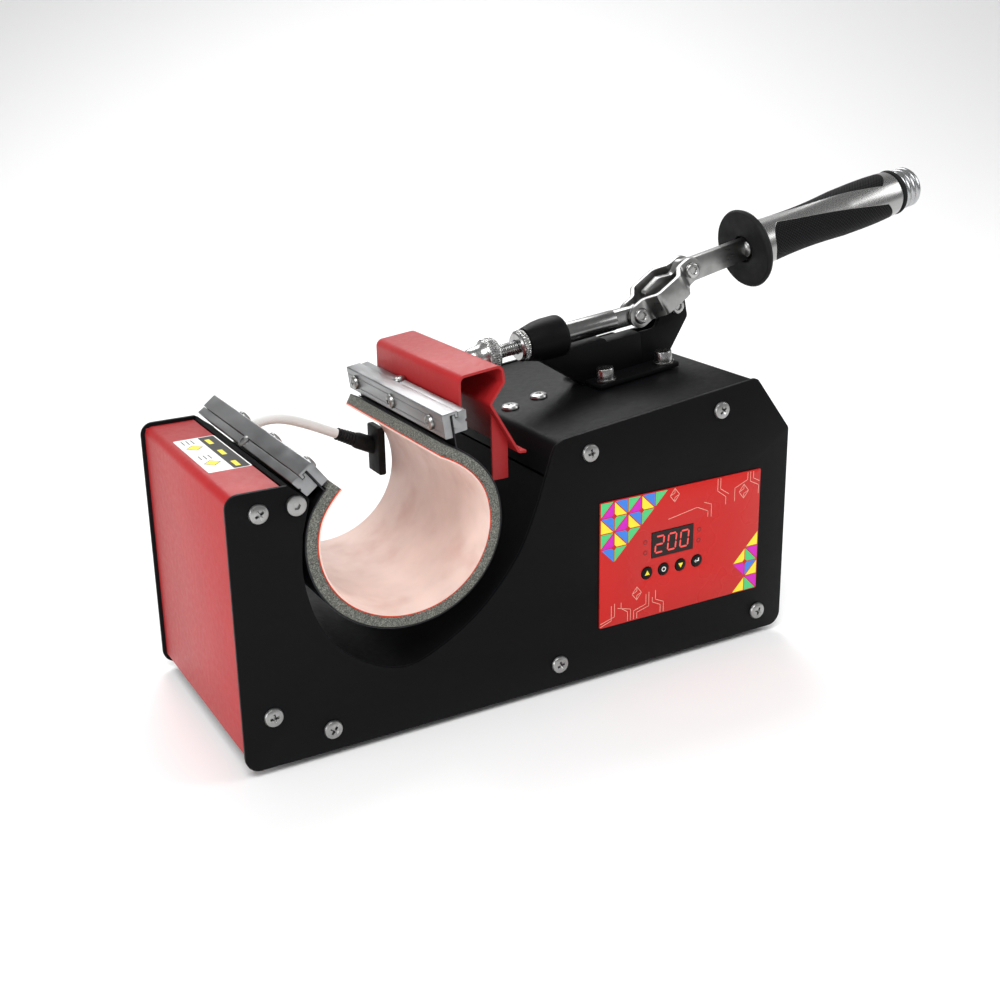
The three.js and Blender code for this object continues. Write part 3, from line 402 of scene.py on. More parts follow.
def knurl_tree():
    """A knurled band: a sleeve whose radius follows two crossing sets of ridges."""
    if "Knurled band" in bpy.data.node_groups:
        return bpy.data.node_groups["Knurled band"]
    tree, given, result = new_tree("Knurled band", [
        ("Geometry", "NodeSocketGeometry", None), ("Radius", "NodeSocketFloat", 0.009),
        ("Width", "NodeSocketFloat", 0.005), ("Depth", "NodeSocketFloat", 0.0004),
        ("Ridges", "NodeSocketInt", 40), ("Slant", "NodeSocketFloat", 3.0),
        ("Rows", "NodeSocketInt", 16), ("Finish", "NodeSocketMaterial", None)])
    work = sums(tree)
    grid, move = tree.nodes.new("GeometryNodeMeshGrid"), tree.nodes.new("GeometryNodeSetPosition")
    grid.inputs["Size X"].default_value = grid.inputs["Size Y"].default_value = 1
    tree.links.new(work("MULTIPLY", given.outputs["Ridges"], 5), grid.inputs["Vertices X"])
    tree.links.new(given.outputs["Rows"], grid.inputs["Vertices Y"])
    spot, parts = tree.nodes.new("GeometryNodeInputPosition"), tree.nodes.new("ShaderNodeSeparateXYZ")
    tree.links.new(spot.outputs[0], parts.inputs[0])
    angle = work("MULTIPLY", work("ADD", parts.outputs["X"], 0.5), 2 * math.pi)
    along = work("ADD", parts.outputs["Y"], 0.5)
    phase = work("MULTIPLY", angle, work("DIVIDE", given.outputs["Ridges"], 2))
    slant = work("MULTIPLY", along, given.outputs["Slant"])
    ridges = [work("ABSOLUTE", work("SINE", work(way, phase, slant))) for way in ("ADD", "SUBTRACT")]
    height = work("MULTIPLY", work("MULTIPLY", *ridges), given.outputs["Depth"])
    edge = work("MINIMUM", work("MULTIPLY", work("SUBTRACT", 0.5, work("ABSOLUTE", parts.outputs["Y"])), 8), 1)
    radius = work("ADD", given.outputs["Radius"], work("MULTIPLY", height, edge))
    join = tree.nodes.new("ShaderNodeCombineXYZ")
    tree.links.new(work("MULTIPLY", radius, work("COSINE", angle)), join.inputs["X"])
    tree.links.new(work("MULTIPLY", radius, work("SINE", angle)), join.inputs["Y"])
    tree.links.new(work("MULTIPLY", along, given.outputs["Width"]), join.inputs["Z"])
    merge = tree.nodes.new("GeometryNodeMergeByDistance")
    merge.inputs["Distance"].default_value = 1e-5
    tree.links.new(grid.outputs["Mesh"], move.inputs["Geometry"])
    tree.links.new(join.outputs[0], move.inputs["Position"])
    tree.links.new(move.outputs[0], merge.inputs["Geometry"])
    end_tree(tree, given, result, merge.outputs[0])
    return tree


def thread_tree():
    """A screw thread: a three-sided ridge along a helix."""
    if "Screw thread" in bpy.data.node_groups:
        return bpy.data.node_groups["Screw thread"]
    tree, given, result = new_tree("Screw thread", [
        ("Geometry", "NodeSocketGeometry", None), ("Radius", "NodeSocketFloat", 0.0036),
        ("Length", "NodeSocketFloat", 0.01), ("Pitch", "NodeSocketFloat", 0.00125),
        ("Ridge", "NodeSocketFloat", 0.0006), ("Finish", "NodeSocketMaterial", None)])
    work = sums(tree)
    helix, ridge = tree.nodes.new("GeometryNodeCurveSpiral"), tree.nodes.new("GeometryNodeCurvePrimitiveCircle")
    sweep = tree.nodes.new("GeometryNodeCurveToMesh")
    helix.inputs["Resolution"].default_value = 20
    ridge.inputs["Resolution"].default_value = 3
    tree.links.new(work("DIVIDE", given.outputs["Length"], given.outputs["Pitch"]), helix.inputs["Rotations"])
    tree.links.new(given.outputs["Radius"], helix.inputs["Start Radius"])
    tree.links.new(given.outputs["Radius"], helix.inputs["End Radius"])
    tree.links.new(given.outputs["Length"], helix.inputs["Height"])
    tree.links.new(given.outputs["Ridge"], ridge.inputs["Radius"])
    tree.links.new(helix.outputs[0], sweep.inputs["Curve"])
    tree.links.new(ridge.outputs["Curve"], sweep.inputs["Profile Curve"])
    sweep.inputs["Fill Caps"].default_value = True
    end_tree(tree, given, result, sweep.outputs[0])
    return tree


def grow(name, tree, values, finish, carrier=None):
    """Runs a tree on a carrier mesh and gives the result as a plain mesh."""
    holder = link_in(name, carrier or bpy.data.meshes.new(name + "_seed"))
    modifier = holder.modifiers.new("Make", "NODES")
    modifier.node_group = tree
    for label, value in {**values, "Finish": finish}.items():
        set_input(modifier, label, value)
    settle(holder)
    holder.data.name = name
    return holder


def copies(name, copy, places, finish):
    """One mesh with a copy of a shape at each (position, direction, spin), all in metres."""
    carrier = bpy.data.meshes.new(name + "_places")
    carrier.from_pydata([tuple(at) for at, _, _ in places], [], [])
    turns = carrier.attributes.new("turn", "FLOAT_VECTOR", "POINT")
    for item, (_, direction, spin) in zip(turns.data, places):
        item.vector = facing(direction, spin=spin).to_euler()
    pattern = link_in(name + "_copy", copy)
    piece = grow(name, copies_tree(), {"Copy": pattern}, finish, carrier)
    bpy.data.objects.remove(pattern)
    smooth(piece.data)
    return piece


def absorb(piece, *others):
    """Joins other pieces' meshes into a piece, each face with its own finish."""
    shape = bmesh.new()
    shape.from_mesh(piece.data)
    finishes = list(piece.data.materials)
    for other in others:
        first = len(shape.faces)
        shape.from_mesh(other.data)
        shape.faces.ensure_lookup_table()
        offset = len(finishes)
        finishes += list(other.data.materials)
        for face in shape.faces[first:]:
            face.material_index += offset
        bpy.data.objects.remove(other)
    shape.to_mesh(piece.data)
    shape.free()
    piece.data.materials.clear()
    for finish in finishes:
        piece.data.materials.append(finish)
    return piece


# ---- finishes -------------------------------------------------------------------------------
class Finish:
    """A material under construction, with short ways to add its nodes."""

    def __init__(self, name, colour, roughness, metallic=0.0):
        self.material = bpy.data.materials.new(name)
        self.material.use_nodes = True
        self.tree = self.material.node_tree
        self.shader = self.tree.nodes["Principled BSDF"]
        self.shader.inputs["Base Color"].default_value = (*colour, 1)
        self.shader.inputs["Roughness"].default_value = roughness
        self.shader.inputs["Metallic"].default_value = metallic
        self.material.diffuse_color = (*colour, 1)

    def node(self, kind, **settings):
        node = self.tree.nodes.new(kind)
        for key, value in settings.items():
            setattr(node, key, value)
        return node

    def place(self, scale=(1, 1, 1), turn=(0, 0, 0), source="Object"):
        where, mapping = self.node("ShaderNodeTexCoord"), self.node("ShaderNodeMapping")
        mapping.inputs["Scale"].default_value = scale
        mapping.inputs["Rotation"].default_value = turn
        self.tree.links.new(where.outputs[source], mapping.inputs["Vector"])
        return mapping.outputs[0]

    def noise(self, at, scale, detail=3.0, roughness=0.5):
        node = self.node("ShaderNodeTexNoise")
        for label, value in (("Scale", scale), ("Detail", detail), ("Roughness", roughness)):
            node.inputs[label].default_value = value
        self.tree.links.new(at, node.inputs["Vector"])
        return node.outputs["Fac"]

    def cells(self, at, scale, feature="F1"):
        node = self.node("ShaderNodeTexVoronoi", feature=feature)
        node.inputs["Scale"].default_value = scale
        self.tree.links.new(at, node.inputs["Vector"])
        return node.outputs["Distance"]

    def work(self, operation, a, b=None):
        node = self.node("ShaderNodeMath", operation=operation)
        for socket, value in zip(node.inputs, (a, b)):
            if isinstance(value, (int, float)):
                socket.default_value = value
            elif value is not None:
                self.tree.links.new(value, socket)
        return node.outputs[0]

    def spread(self, value, low, high, to_low=0.0, to_high=1.0):
        node = self.node("ShaderNodeMapRange")
        for label, number in (("From Min", low), ("From Max", high), ("To Min", to_low), ("To Max", to_high)):
            node.inputs[label].default_value = number
        self.tree.links.new(value, node.inputs["Value"])
        return node.outputs[0]

    def colours(self, value, stops):
        ramp = self.node("ShaderNodeValToRGB")
        while len(ramp.color_ramp.elements) < len(stops):
            ramp.color_ramp.elements.new(0.5)
        for element, (at, colour) in zip(ramp.color_ramp.elements, stops):
            element.position, element.color = at, (*colour, 1)
        self.tree.links.new(value, ramp.inputs[0])
        self.tree.links.new(ramp.outputs[0], self.shader.inputs["Base Color"])
        return ramp.outputs[0]

    def feed(self, label, value):
        self.tree.links.new(value, self.shader.inputs[label])

    def bump(self, height, strength, distance):
        node = self.node("ShaderNodeBump")
        node.inputs["Strength"].default_value = strength
        node.inputs["Distance"].default_value = distance
        self.tree.links.new(height, node.inputs["Height"])
        self.tree.links.new(node.outputs[0], self.shader.inputs["Normal"])


def shade(colour, factor):
    return tuple(min(part * factor, 1) for part in colour)


def powder_coat(name, colour, gloss=0.5):
    """Fine-textured powder coat: an even orange-peel grain with slight clouds in its gloss."""
    f = Finish(name, colour, 0.45)
    f.shader.inputs["Specular IOR Level"].default_value = gloss
    at = f.place()
    f.colours(f.noise(at, 60, 4), [(0.3, shade(colour, 0.96)), (0.7, shade(colour, 1.04))])
    f.feed("Roughness", f.spread(f.noise(at, 300, 3), 0.3, 0.7, 0.42, 0.5))
    f.bump(f.noise(at, 1300, 2), 0.22, 0.0002)
    return f.material


def plated_steel(name, colour, roughness, streak=(1, 1, 1)):
    """Bright zinc or nickel plate with faint clouds and fine scratches along one way."""
    f = Finish(name, colour, roughness, 1.0)
    clouds = f.noise(f.place(), 140, 3)
    scratches = f.noise(f.place(streak), 900, 3, 0.7)
    f.colours(clouds, [(0.3, shade(colour, 0.8)), (0.7, shade(colour, 1.1))])
    f.feed("Roughness", f.spread(scratches, 0.25, 0.75, roughness * 0.85, roughness * 1.25))
    f.bump(scratches, 0.04, 0.00006)
    return f.material


def drawn_aluminium(name, colour):
    """Mill-finish extrusion: die lines along y, with duller patches."""
    f = Finish(name, colour, 0.38, 1.0)
    lines = f.noise(f.place((1, 0.012, 1)), 2600, 2, 0.6)
    patches = f.noise(f.place((1, 0.4, 1)), 120, 4)
    f.colours(patches, [(0.25, shade(colour, 0.72)), (0.75, shade(colour, 1.1))])
    f.feed("Roughness", f.spread(patches, 0.3, 0.7, 0.3, 0.5))
    f.bump(f.work("ADD", lines, f.work("MULTIPLY", patches, 0.4)), 0.25, 0.00008)
    return f.material


def moulded(name, colour, roughness, grain=900, depth=0.15):
    """Rubber or plastic with a fine moulded grain."""
    f = Finish(name, colour, roughness)
    f.shader.inputs["Specular IOR Level"].default_value = 0.14
    at = f.place()
    f.colours(f.noise(at, 90, 4), [(0.3, shade(colour, 0.8)), (0.7, shade(colour, 1.25))])
    f.feed("Roughness", f.spread(f.noise(at, 200, 2), 0.3, 0.7, roughness * 0.88, roughness * 1.12))
    f.bump(f.noise(at, grain, 2), depth, 0.0001)
    return f.material


def sponge(name, colour):
    """Closed-cell silicone foam: a speckled grey from random grain, with painted shade darkening its small pores."""
    f = Finish(name, colour, 0.92)
    at = f.place()
    pores = f.cells(at, 1100)
    grain = f.noise(at, 1500, 6, 0.85)
    mix = f.work("MULTIPLY", f.spread(pores, 0.1, 0.38, 0.25, 1), f.spread(grain, 0.38, 0.6))
    # Painted shade: the colour falls towards a tenth of the grey at the pores. The speckle from the random grain is the
    # foam's own.
    f.colours(mix, [(0.0, shade(colour, 0.1)), (0.3, shade(colour, 0.6)), (0.7, colour), (1.0, shade(colour, 2.2))])
    f.bump(mix, 0.8, 0.0004)
    return f.material


def heater_skin(name, colour):
    """Pale silicone sheet with cloudy, faintly darker patches and a soft sheen."""
    f = Finish(name, colour, 0.45)
    at = f.place()
    clouds = f.work("ADD", f.noise(at, 22, 3, 0.6), f.work("MULTIPLY", f.noise(at, 75, 4), 0.35))
    f.colours(clouds, [(0.4, (colour[0] * 0.84, colour[1] * 0.74, colour[2] * 0.72)), (0.62, colour),
                       (0.85, shade(colour, 1.12))])
    f.feed("Roughness", f.spread(f.noise(at, 160, 3), 0.3, 0.7, 0.36, 0.55))
    f.bump(f.noise(at, 420, 3), 0.12, 0.0002)
    f.shader.inputs["Subsurface Weight"].default_value = 0.12
    f.shader.inputs["Subsurface Scale"].default_value = 0.003
    return f.material


def woven_sleeve(name, colour):
    """Braided glass sleeve: two crossing sets of yarns that follow the lead, with painted shade in the gaps between
    yarns and a painted highlight on their crowns.
    """
    f = Finish(name, colour, 0.7)
    axes = f.node("ShaderNodeSeparateXYZ")
    f.tree.links.new(f.place(source="UV"), axes.inputs[0])
    around, along = f.work("MULTIPLY", axes.outputs["X"], 2 * math.pi * 8), f.work("MULTIPLY", axes.outputs["Y"], 22)
    yarns = f.work("MULTIPLY", f.work("ABSOLUTE", f.work("SINE", f.work("ADD", around, along))),
                   f.work("ABSOLUTE", f.work("SINE", f.work("SUBTRACT", around, along))))
    # Painted shade and highlight: darker in the gaps between yarns, lighter on the yarn crowns.
    f.colours(yarns, [(0.0, shade(colour, 0.72)), (0.35, colour), (1.0, shade(colour, 1.12))])
    f.bump(yarns, 0.5, 0.0003)
    return f.material


def swirl_grip(name, rubber, metal):
    """Silver tube with two black diamond-ribbed strips that wind round it, with painted shade in the strips' rib
    grooves and a painted highlight on their rib tops.
    """
    f = Finish(name, rubber, 0.6)
    f.shader.inputs["Specular IOR Level"].default_value = 0.06
    axes = f.node("ShaderNodeSeparateXYZ")
    f.tree.links.new(f.place(source="UV"), axes.inputs[0])
    around, along = axes.outputs["X"], axes.outputs["Y"]
    wind = f.work("FRACT", f.work("ADD", f.work("MULTIPLY", around, 2),
                                  f.work("ADD", f.work("MULTIPLY", along, SWIRL), SWIRL_FROM)))
    strip = f.work("ABSOLUTE", f.work("SUBTRACT", wind, 0.5))
    ends = f.work("MINIMUM", f.spread(along, 0.04, 0.11), f.spread(along, 0.95, 0.88))
    black = f.spread(f.work("SUBTRACT", strip, f.work("MULTIPLY", f.work("POWER", ends, 0.4), 0.37)),
                     -0.004, 0.004, 1, 0)
    a, b = f.work("MULTIPLY", around, 2 * math.pi * 20), f.work("MULTIPLY", along, 2 * math.pi * 24)
    ribs = f.work("MULTIPLY", f.work("ABSOLUTE", f.work("SINE", f.work("ADD", a, b))),
                  f.work("ABSOLUTE", f.work("SINE", f.work("SUBTRACT", a, b))))
    mix = f.node("ShaderNodeMix", data_type="RGBA")
    silver, ribbed, mixed = mix.inputs[6], mix.inputs[7], mix.outputs[2]
    f.tree.links.new(black, mix.inputs[0])
    silver.default_value = (*metal, 1)
    # Painted shade and highlight: the strips' colour runs from a quarter of the rubber's colour in the grooves to
    # nearly twice it on the rib tops.
    painted_rib_shading = f.node("ShaderNodeValToRGB")
    painted_rib_shading.color_ramp.elements[0].color = (*shade(rubber, 0.25), 1)
    painted_rib_shading.color_ramp.elements[1].color = (*shade(rubber, 1.9), 1)
    f.tree.links.new(ribs, painted_rib_shading.inputs[0])
    f.tree.links.new(painted_rib_shading.outputs[0], ribbed)
    f.feed("Base Color", mixed)
    f.feed("Metallic", f.work("SUBTRACT", 1, black))
    brushed = f.noise(f.place((1, 60, 1), source="UV"), 60, 3)
    f.feed("Roughness", f.work("ADD", f.work("MULTIPLY", black, 0.3), f.spread(brushed, 0.2, 0.8, 0.18, 0.34)))
    f.bump(f.work("MULTIPLY", f.work("ADD", f.work("MULTIPLY", ribs, 0.8), 0.4), black), 0.7, 0.0007)
    return f.material


def printed(name, colour, roughness=0.3):
    """Ink under a clear film, even but for very faint clouds."""
    f = Finish(name, colour, roughness)
    f.shader.inputs["Specular IOR Level"].default_value = 0.25
    at = f.place()
    f.colours(f.noise(at, 25, 2), [(0.0, shade(colour, 0.96)), (1.0, shade(colour, 1.04))])
    f.feed("Roughness", f.spread(f.noise(at, 40, 2), 0.3, 0.7, roughness * 0.95, roughness * 1.05))
    return f.material


def studio_paper(name, colour):
    """Plain pale paper."""
    f = Finish(name, colour, 0.8)
    f.bump(f.noise(f.place(), 800, 2), 0.02, 0.0001)
    return f.material


def lit(name, colour, strength):
    """Lit display segments."""
    f = Finish(name, colour, 0.4)
    f.shader.inputs["Emission Color"].default_value = (*colour, 1)
    f.shader.inputs["Emission Strength"].default_value = strength
    f.bump(f.noise(f.place(), 600, 2), 0.05, 0.0001)
    return f.material


def finish(look):
    """A finish by its look, made when it is first asked for."""
    name = "press_" + look
    if name in bpy.data.materials:
        return bpy.data.materials[name]
    c = bpy.context.scene.press_colours
    makers = {
        "black_powder": lambda: powder_coat(name, c.housing, 0.08),
        "red_powder": lambda: powder_coat(name, c.covers, 0.3),
        "zinc": lambda: plated_steel(name, c.steel, 0.3),
        "bright_steel": lambda: plated_steel(name, shade(c.steel, 0.7), 0.2, (0.05, 1, 1)),
        "nickel": lambda: plated_steel(name, shade(c.steel, 1.15), 0.24),
        "flat_steel": lambda: plated_steel(name, shade(c.steel, 0.9), 0.3, (0.08, 1, 0.5)),
        "dark_steel": lambda: plated_steel(name, (0.045, 0.045, 0.05), 0.42),
        "rail_aluminium": lambda: drawn_aluminium(name, c.rails),
        "turned_aluminium": lambda: plated_steel(name, shade(c.rails, 1.25), 0.25, (0.1, 1, 1)),
        "rubber": lambda: moulded(name, (0.009, 0.009, 0.0095), 0.62),
        "black_plastic": lambda: moulded(name, (0.009, 0.009, 0.0095), 0.38, 1400, 0.08),
        "key_plastic": lambda: moulded(name, (0.003, 0.003, 0.003), 0.35, 1400, 0.05),
        "foam": lambda: sponge(name, c.foam),
        "skin": lambda: heater_skin(name, c.heater),
        "skin_edge": lambda: moulded(name, c.heater_edge, 0.5),
        "sleeve": lambda: woven_sleeve(name, (0.84, 0.84, 0.82)),
        "grip": lambda: swirl_grip(name, (0.009, 0.009, 0.0095), c.steel),
        "film": lambda: printed(name, c.panel, 0.28),
        "display_glass": lambda: printed(name, (0.012, 0.004, 0.004), 0.12),
        "ink_line": lambda: printed(name, (0.85, 0.42, 0.34)),
        "ink_white": lambda: printed(name, (0.85, 0.85, 0.83)),
        "ink_black": lambda: printed(name, (0.012, 0.012, 0.012)),
        "ink_yellow": lambda: printed(name, (0.9, 0.76, 0.04)),
        "ink_blue": lambda: printed(name, (0.05, 0.22, 0.74)),
        "ink_magenta": lambda: printed(name, (0.6, 0.014, 0.5)),
        "ink_green": lambda: printed(name, (0.08, 0.58, 0.2)),
        "digits": lambda: lit(name, (0.75, 0.06, 0.05), 0.35),
        "brass": lambda: plated_steel(name, (0.7, 0.5, 0.22), 0.3),
        "board_green": lambda: moulded(name, (0.03, 0.16, 0.07), 0.45),
        "weld": lambda: plated_steel(name, shade(c.steel, 0.7), 0.45),
        "studio_floor": lambda: studio_paper(name, (0.93, 0.93, 0.93)),
    }
    return makers[look]()


def repaint(node, look):
    """Gives a CAD node that stays in view its finish."""
    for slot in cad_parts[node].material_slots:
        slot.material = finish(look)


class PressSizes(bpy.types.PropertyGroup):
    """Sizes that a maker may want to change."""
    edge: FloatProperty(name="Broken edge", description="Bevel on sheet and machined edges",
                        default=0.00035, min=0.00005, max=0.001, unit="LENGTH", precision=5)
    screw_head: FloatProperty(name="Screw head", description="Diameter of the housing's screw heads",
                              default=0.0103, min=0.008, max=0.012, unit="LENGTH", precision=5)
    bar_screw_head: FloatProperty(name="Bar screw head", description="Diameter of the rails' screw heads",
                                  default=0.008, min=0.006, max=0.009, unit="LENGTH", precision=5)
    lead: FloatProperty(name="Lead", description="Diameter of the heater lead",
                        default=0.0058, min=0.004, max=0.0062, unit="LENGTH", precision=5)
    knurl_depth: FloatProperty(name="Knurl depth", description="Height of the ridges on the wheels",
                               default=0.00045, min=0.0001, max=0.0008, unit="LENGTH", precision=5)
    wheel_ridges: IntProperty(name="Wheel ridges", description="Ridges round the adjusting wheel",
                              default=44, min=16, max=80)
    thread_pitch: FloatProperty(name="Thread pitch", description="Pitch of the adjuster's thread",
                                default=0.00125, min=0.0008, max=0.002, unit="LENGTH", precision=5)


class PressColours(bpy.types.PropertyGroup):
    """Colours that a maker may want to change."""
    housing: FloatVectorProperty(name="Housing", description="Powder coat of plates and deck",
                                 default=(0.0035, 0.0035, 0.004), subtype="COLOR", min=0, max=1)
    covers: FloatVectorProperty(name="Covers", description="Powder coat of the end cover and the bracket",
                                default=(0.36, 0.014, 0.016), subtype="COLOR", min=0, max=1)
    steel: FloatVectorProperty(name="Steel", description="Plated screws, links and handle",
                               default=(0.36, 0.36, 0.355), subtype="COLOR", min=0, max=1)
    rails: FloatVectorProperty(name="Rails", description="Bare aluminium rails",
                               default=(0.32, 0.325, 0.33), subtype="COLOR", min=0, max=1)
    heater: FloatVectorProperty(name="Heater skin", description="Inner face of the heater",
                                default=(0.74, 0.56, 0.5), subtype="COLOR", min=0, max=1)
    heater_edge: FloatVectorProperty(name="Heater edge", description="Silicone edge behind the skin",
                                     default=(0.6, 0.06, 0.025), subtype="COLOR", min=0, max=1)
    foam: FloatVectorProperty(name="Foam", description="Foam blanket",
                              default=(0.19, 0.195, 0.17), subtype="COLOR", min=0, max=1)
    panel: FloatVectorProperty(name="Panel film", description="Ground colour of the control panel",
                               default=(0.54, 0.014, 0.011), subtype="COLOR", min=0, max=1)


# ---- screws ---------------------------------------------------------------------------------
def cut_recess(piece, tool):
    """Cuts a tool's shape out of a piece and drops the tool."""
    cut = piece.modifiers.new("Recess", "BOOLEAN")
    cut.operation, cut.solver, cut.object, cut.use_self = "DIFFERENCE", "EXACT", tool, True
    settle(piece)
    bpy.data.objects.remove(tool)
    smooth(piece.data)
    return piece


def pan_head(radius, height, finish_name="zinc"):
    """A pan-head screw with a cross recess, its face to +Z and its seat at zero. Metres."""
    r, h = radius / MM, height / MM
    shape = bmesh.new()
    add_lathe(shape, [(0, -1.5), (r * 0.5, -1.5), (r * 0.5, 0), (r * 0.95, 0), (r, 0.25), (r * 0.985, h * 0.38),
                      (r * 0.9, h * 0.68), (r * 0.68, h * 0.9), (r * 0.36, h * 0.985), (0, h)],
              (0, 0, 0), (0, 0, 1), 36)
    head = make("pan_head", shape, [finish(finish_name)], Matrix.Scale(MM, 4))
    cross = bmesh.new()
    wide, narrow, low = r * 0.56, r * 0.115, h * 0.22
    for turn in (0, math.pi / 2):
        spin = Matrix.Rotation(turn, 4, "Z")
        foot = [cross.verts.new(spin @ Vector((x * wide * 0.45, y * narrow * 0.7, low)))
                for x, y in ((-1, -1), (1, -1), (1, 1), (-1, 1))]
        rim = [cross.verts.new(spin @ Vector((x * wide, y * narrow * 1.3, h + 0.5)))
               for x, y in ((-1, -1), (1, -1), (1, 1), (-1, 1))]
        for i in range(4):
            cross.faces.new((foot[i], foot[(i + 1) % 4], rim[(i + 1) % 4], rim[i]))
        cross.faces.new(foot[::-1])
        cross.faces.new(rim)
    bmesh.ops.recalc_face_normals(cross, faces=cross.faces)
    tool = make("cross", cross, [], Matrix.Scale(MM, 4))
    return lift_mesh(cut_recess(head, tool))


def socket_head(radius, height, socket, washer=0.0):
    """A socket-head screw with its seat at zero, on a washer if a washer radius is given. Metres."""
    r, h, s, w = radius / MM, height / MM, socket / MM, washer / MM
    shape = bmesh.new()
    low = 1.3 if w else 0
    if w:
        add_lathe(shape, [(r * 0.6, 0), (w - 0.1, 0), (w, 0.15), (w, 1.1), (w - 0.2, 1.25), (r * 0.6, 1.25)],
                  (0, 0, 0), (0, 0, 1), 40, closed=True)
    add_lathe(shape, [(0, low), (r - 0.15, low), (r, low + 0.2), (r, low + h - 0.6), (r - 0.25, low + h - 0.15),
                      (r - 0.7, low + h), (0, low + h)], (0, 0, 0), (0, 0, 1), 40)
    head = make("socket_head", shape, [finish("nickel")], Matrix.Scale(MM, 4))
    hexagon = bmesh.new()
    outline = circle(0, 0, s / math.sqrt(3), 6)
    add_prism(hexagon, outline, -(low + h + 1), -(low + h * 0.45), turn=Matrix.Rotation(-math.pi / 2, 4, "X"))
    return lift_mesh(cut_recess(head, make("hexagon", hexagon, [], Matrix.Scale(MM, 4))))


def lift_mesh(piece):
    """Takes a pattern's mesh and drops its object."""
    mesh = piece.data
    bpy.data.objects.remove(piece)
    return mesh


def on_plate(x, y, z, direction, spin=0.0):
    return PLATE_FRAME @ Vector((x, y, z)), Vector(direction), spin


def on_deck(u, v, w, direction=(0, 0, 1), spin=0.0):
    turned = (DECK_FRAME.to_3x3() @ Vector(direction)).normalized()
    return DECK_FRAME @ Vector((u, v, w)), turned, spin


def on_rail(rail, across, y, up, direction=(1, 0, 0), spin=0.0):
    """A place on a rail: across the gap (away from the heater's side plate), along y, and up the rail."""
    where = rail_frame(rail)
    turned = (where.to_3x3() @ Vector(direction)).normalized()
    return where @ Vector((across, y, up)), turned, spin


def rail_frame(rail):
    return PLATE_FRAME @ Matrix.Translation((rail["at"][0], 0, rail["at"][1])) \
        @ Matrix.Rotation(-math.radians(rail["lean"]), 4, "Y")


class Builder(bpy.types.Operator):
    """Shared by all the press's builders."""
    bl_options = {"REGISTER", "UNDO"}

    def execute(self, context):
        self.build(context.scene.press_sizes)
        return {"FINISHED"}


# ---- stage ----------------------------------------------------------------------------------
class PRESS_OT_stage(Builder):
    """Camera, pale floor and soft studio lights"""
    bl_idname = "press.stage"
    bl_label = "Stage"

    def build(self, sizes):
        self.camera()
        self.floor()
        self.lights()

    @staticmethod
    def camera():
        lens = bpy.data.cameras.new("camera")
        lens.lens, lens.sensor_width = 48.78, 36
        lens.shift_x, lens.shift_y = 0.034, -0.0475
        lens.clip_start, lens.clip_end = 0.01, 50
        eye = link_in("camera", lens)
        turn, drop, roll = math.radians(28.02), math.radians(17.93), math.radians(-1.48)
        ahead = Vector((math.sin(turn) * math.cos(drop), math.cos(turn) * math.cos(drop), -math.sin(drop)))
        right = Vector((math.cos(turn), -math.sin(turn), 0))
        up = right.cross(ahead)
        across = math.cos(roll) * right + math.sin(roll) * up
        top = -math.sin(roll) * right + math.cos(roll) * up
        facing_back = Matrix((across, top, -ahead)).transposed().to_4x4()
        eye.matrix_world = Matrix.Translation(PLATE_FRAME @ Vector((-178.2, -574.9, 356.5))) @ facing_back
        bpy.context.scene.camera = eye

    @staticmethod
    def floor():
        line = corners([(-4000, 0), (2600, 0, 1500), (2600, 5000)], 24, closed=False)
        turn = Matrix.Rotation(math.radians(62), 4, "Z")
        shape = bmesh.new()
        rows = [[shape.verts.new(turn @ Vector((p.x, y, p.y))) for y in (-6000, 6000)] for p in line]
        for a, b in zip(rows, rows[1:]):
            shape.faces.new((a[0], b[0], b[1], a[1]))
        make("floor", shape, [finish("studio_floor")], Matrix.Scale(MM, 4), degrees=60)

    @staticmethod
    def lights():
        world = bpy.data.worlds.new("studio")
        world.use_nodes = True
        sky = world.node_tree.nodes["Background"]
        sky.inputs["Color"].default_value = (1, 1, 1, 1)
        sky.inputs["Strength"].default_value = 0.36
        bpy.context.scene.view_settings.view_transform = "Standard"
        bpy.context.scene.world = world
        boxes = [("key", (-0.7, -0.9, 1.5), 0.9, 21), ("side", (1.4, -0.8, 1.0), 0.8, 8),
                 ("back", (0.4, 1.3, 1.6), 1.2, 25), ("low", (-1.4, -0.2, 0.35), 0.8, 8)]
        for name, at, size, power in boxes:
            lamp = bpy.data.lights.new(name, "AREA")
            lamp.energy, lamp.size = power, size
            box = link_in(name, lamp)
            box.matrix_world = facing(Vector(at) - Vector((0, 0, 0.1)), at)


# ---- housing --------------------------------------------------------------------------------
def plate_outline():
    well = [(p.x, p.y) for p in well_line(0, WELL)]
    x, z = LEFT_RAIL["at"]
    return corners([(0, 0, 8), (LENGTH, 0, 8), (LENGTH, RIGHT_HEIGHT, 4), (*PEAK, 4), (*DECK_CORNER, 10), *well,
                    (x - 6, z - 5, 2), (x - 17, LOBE_HEIGHT, 2), (0, LOBE_HEIGHT, 7)])


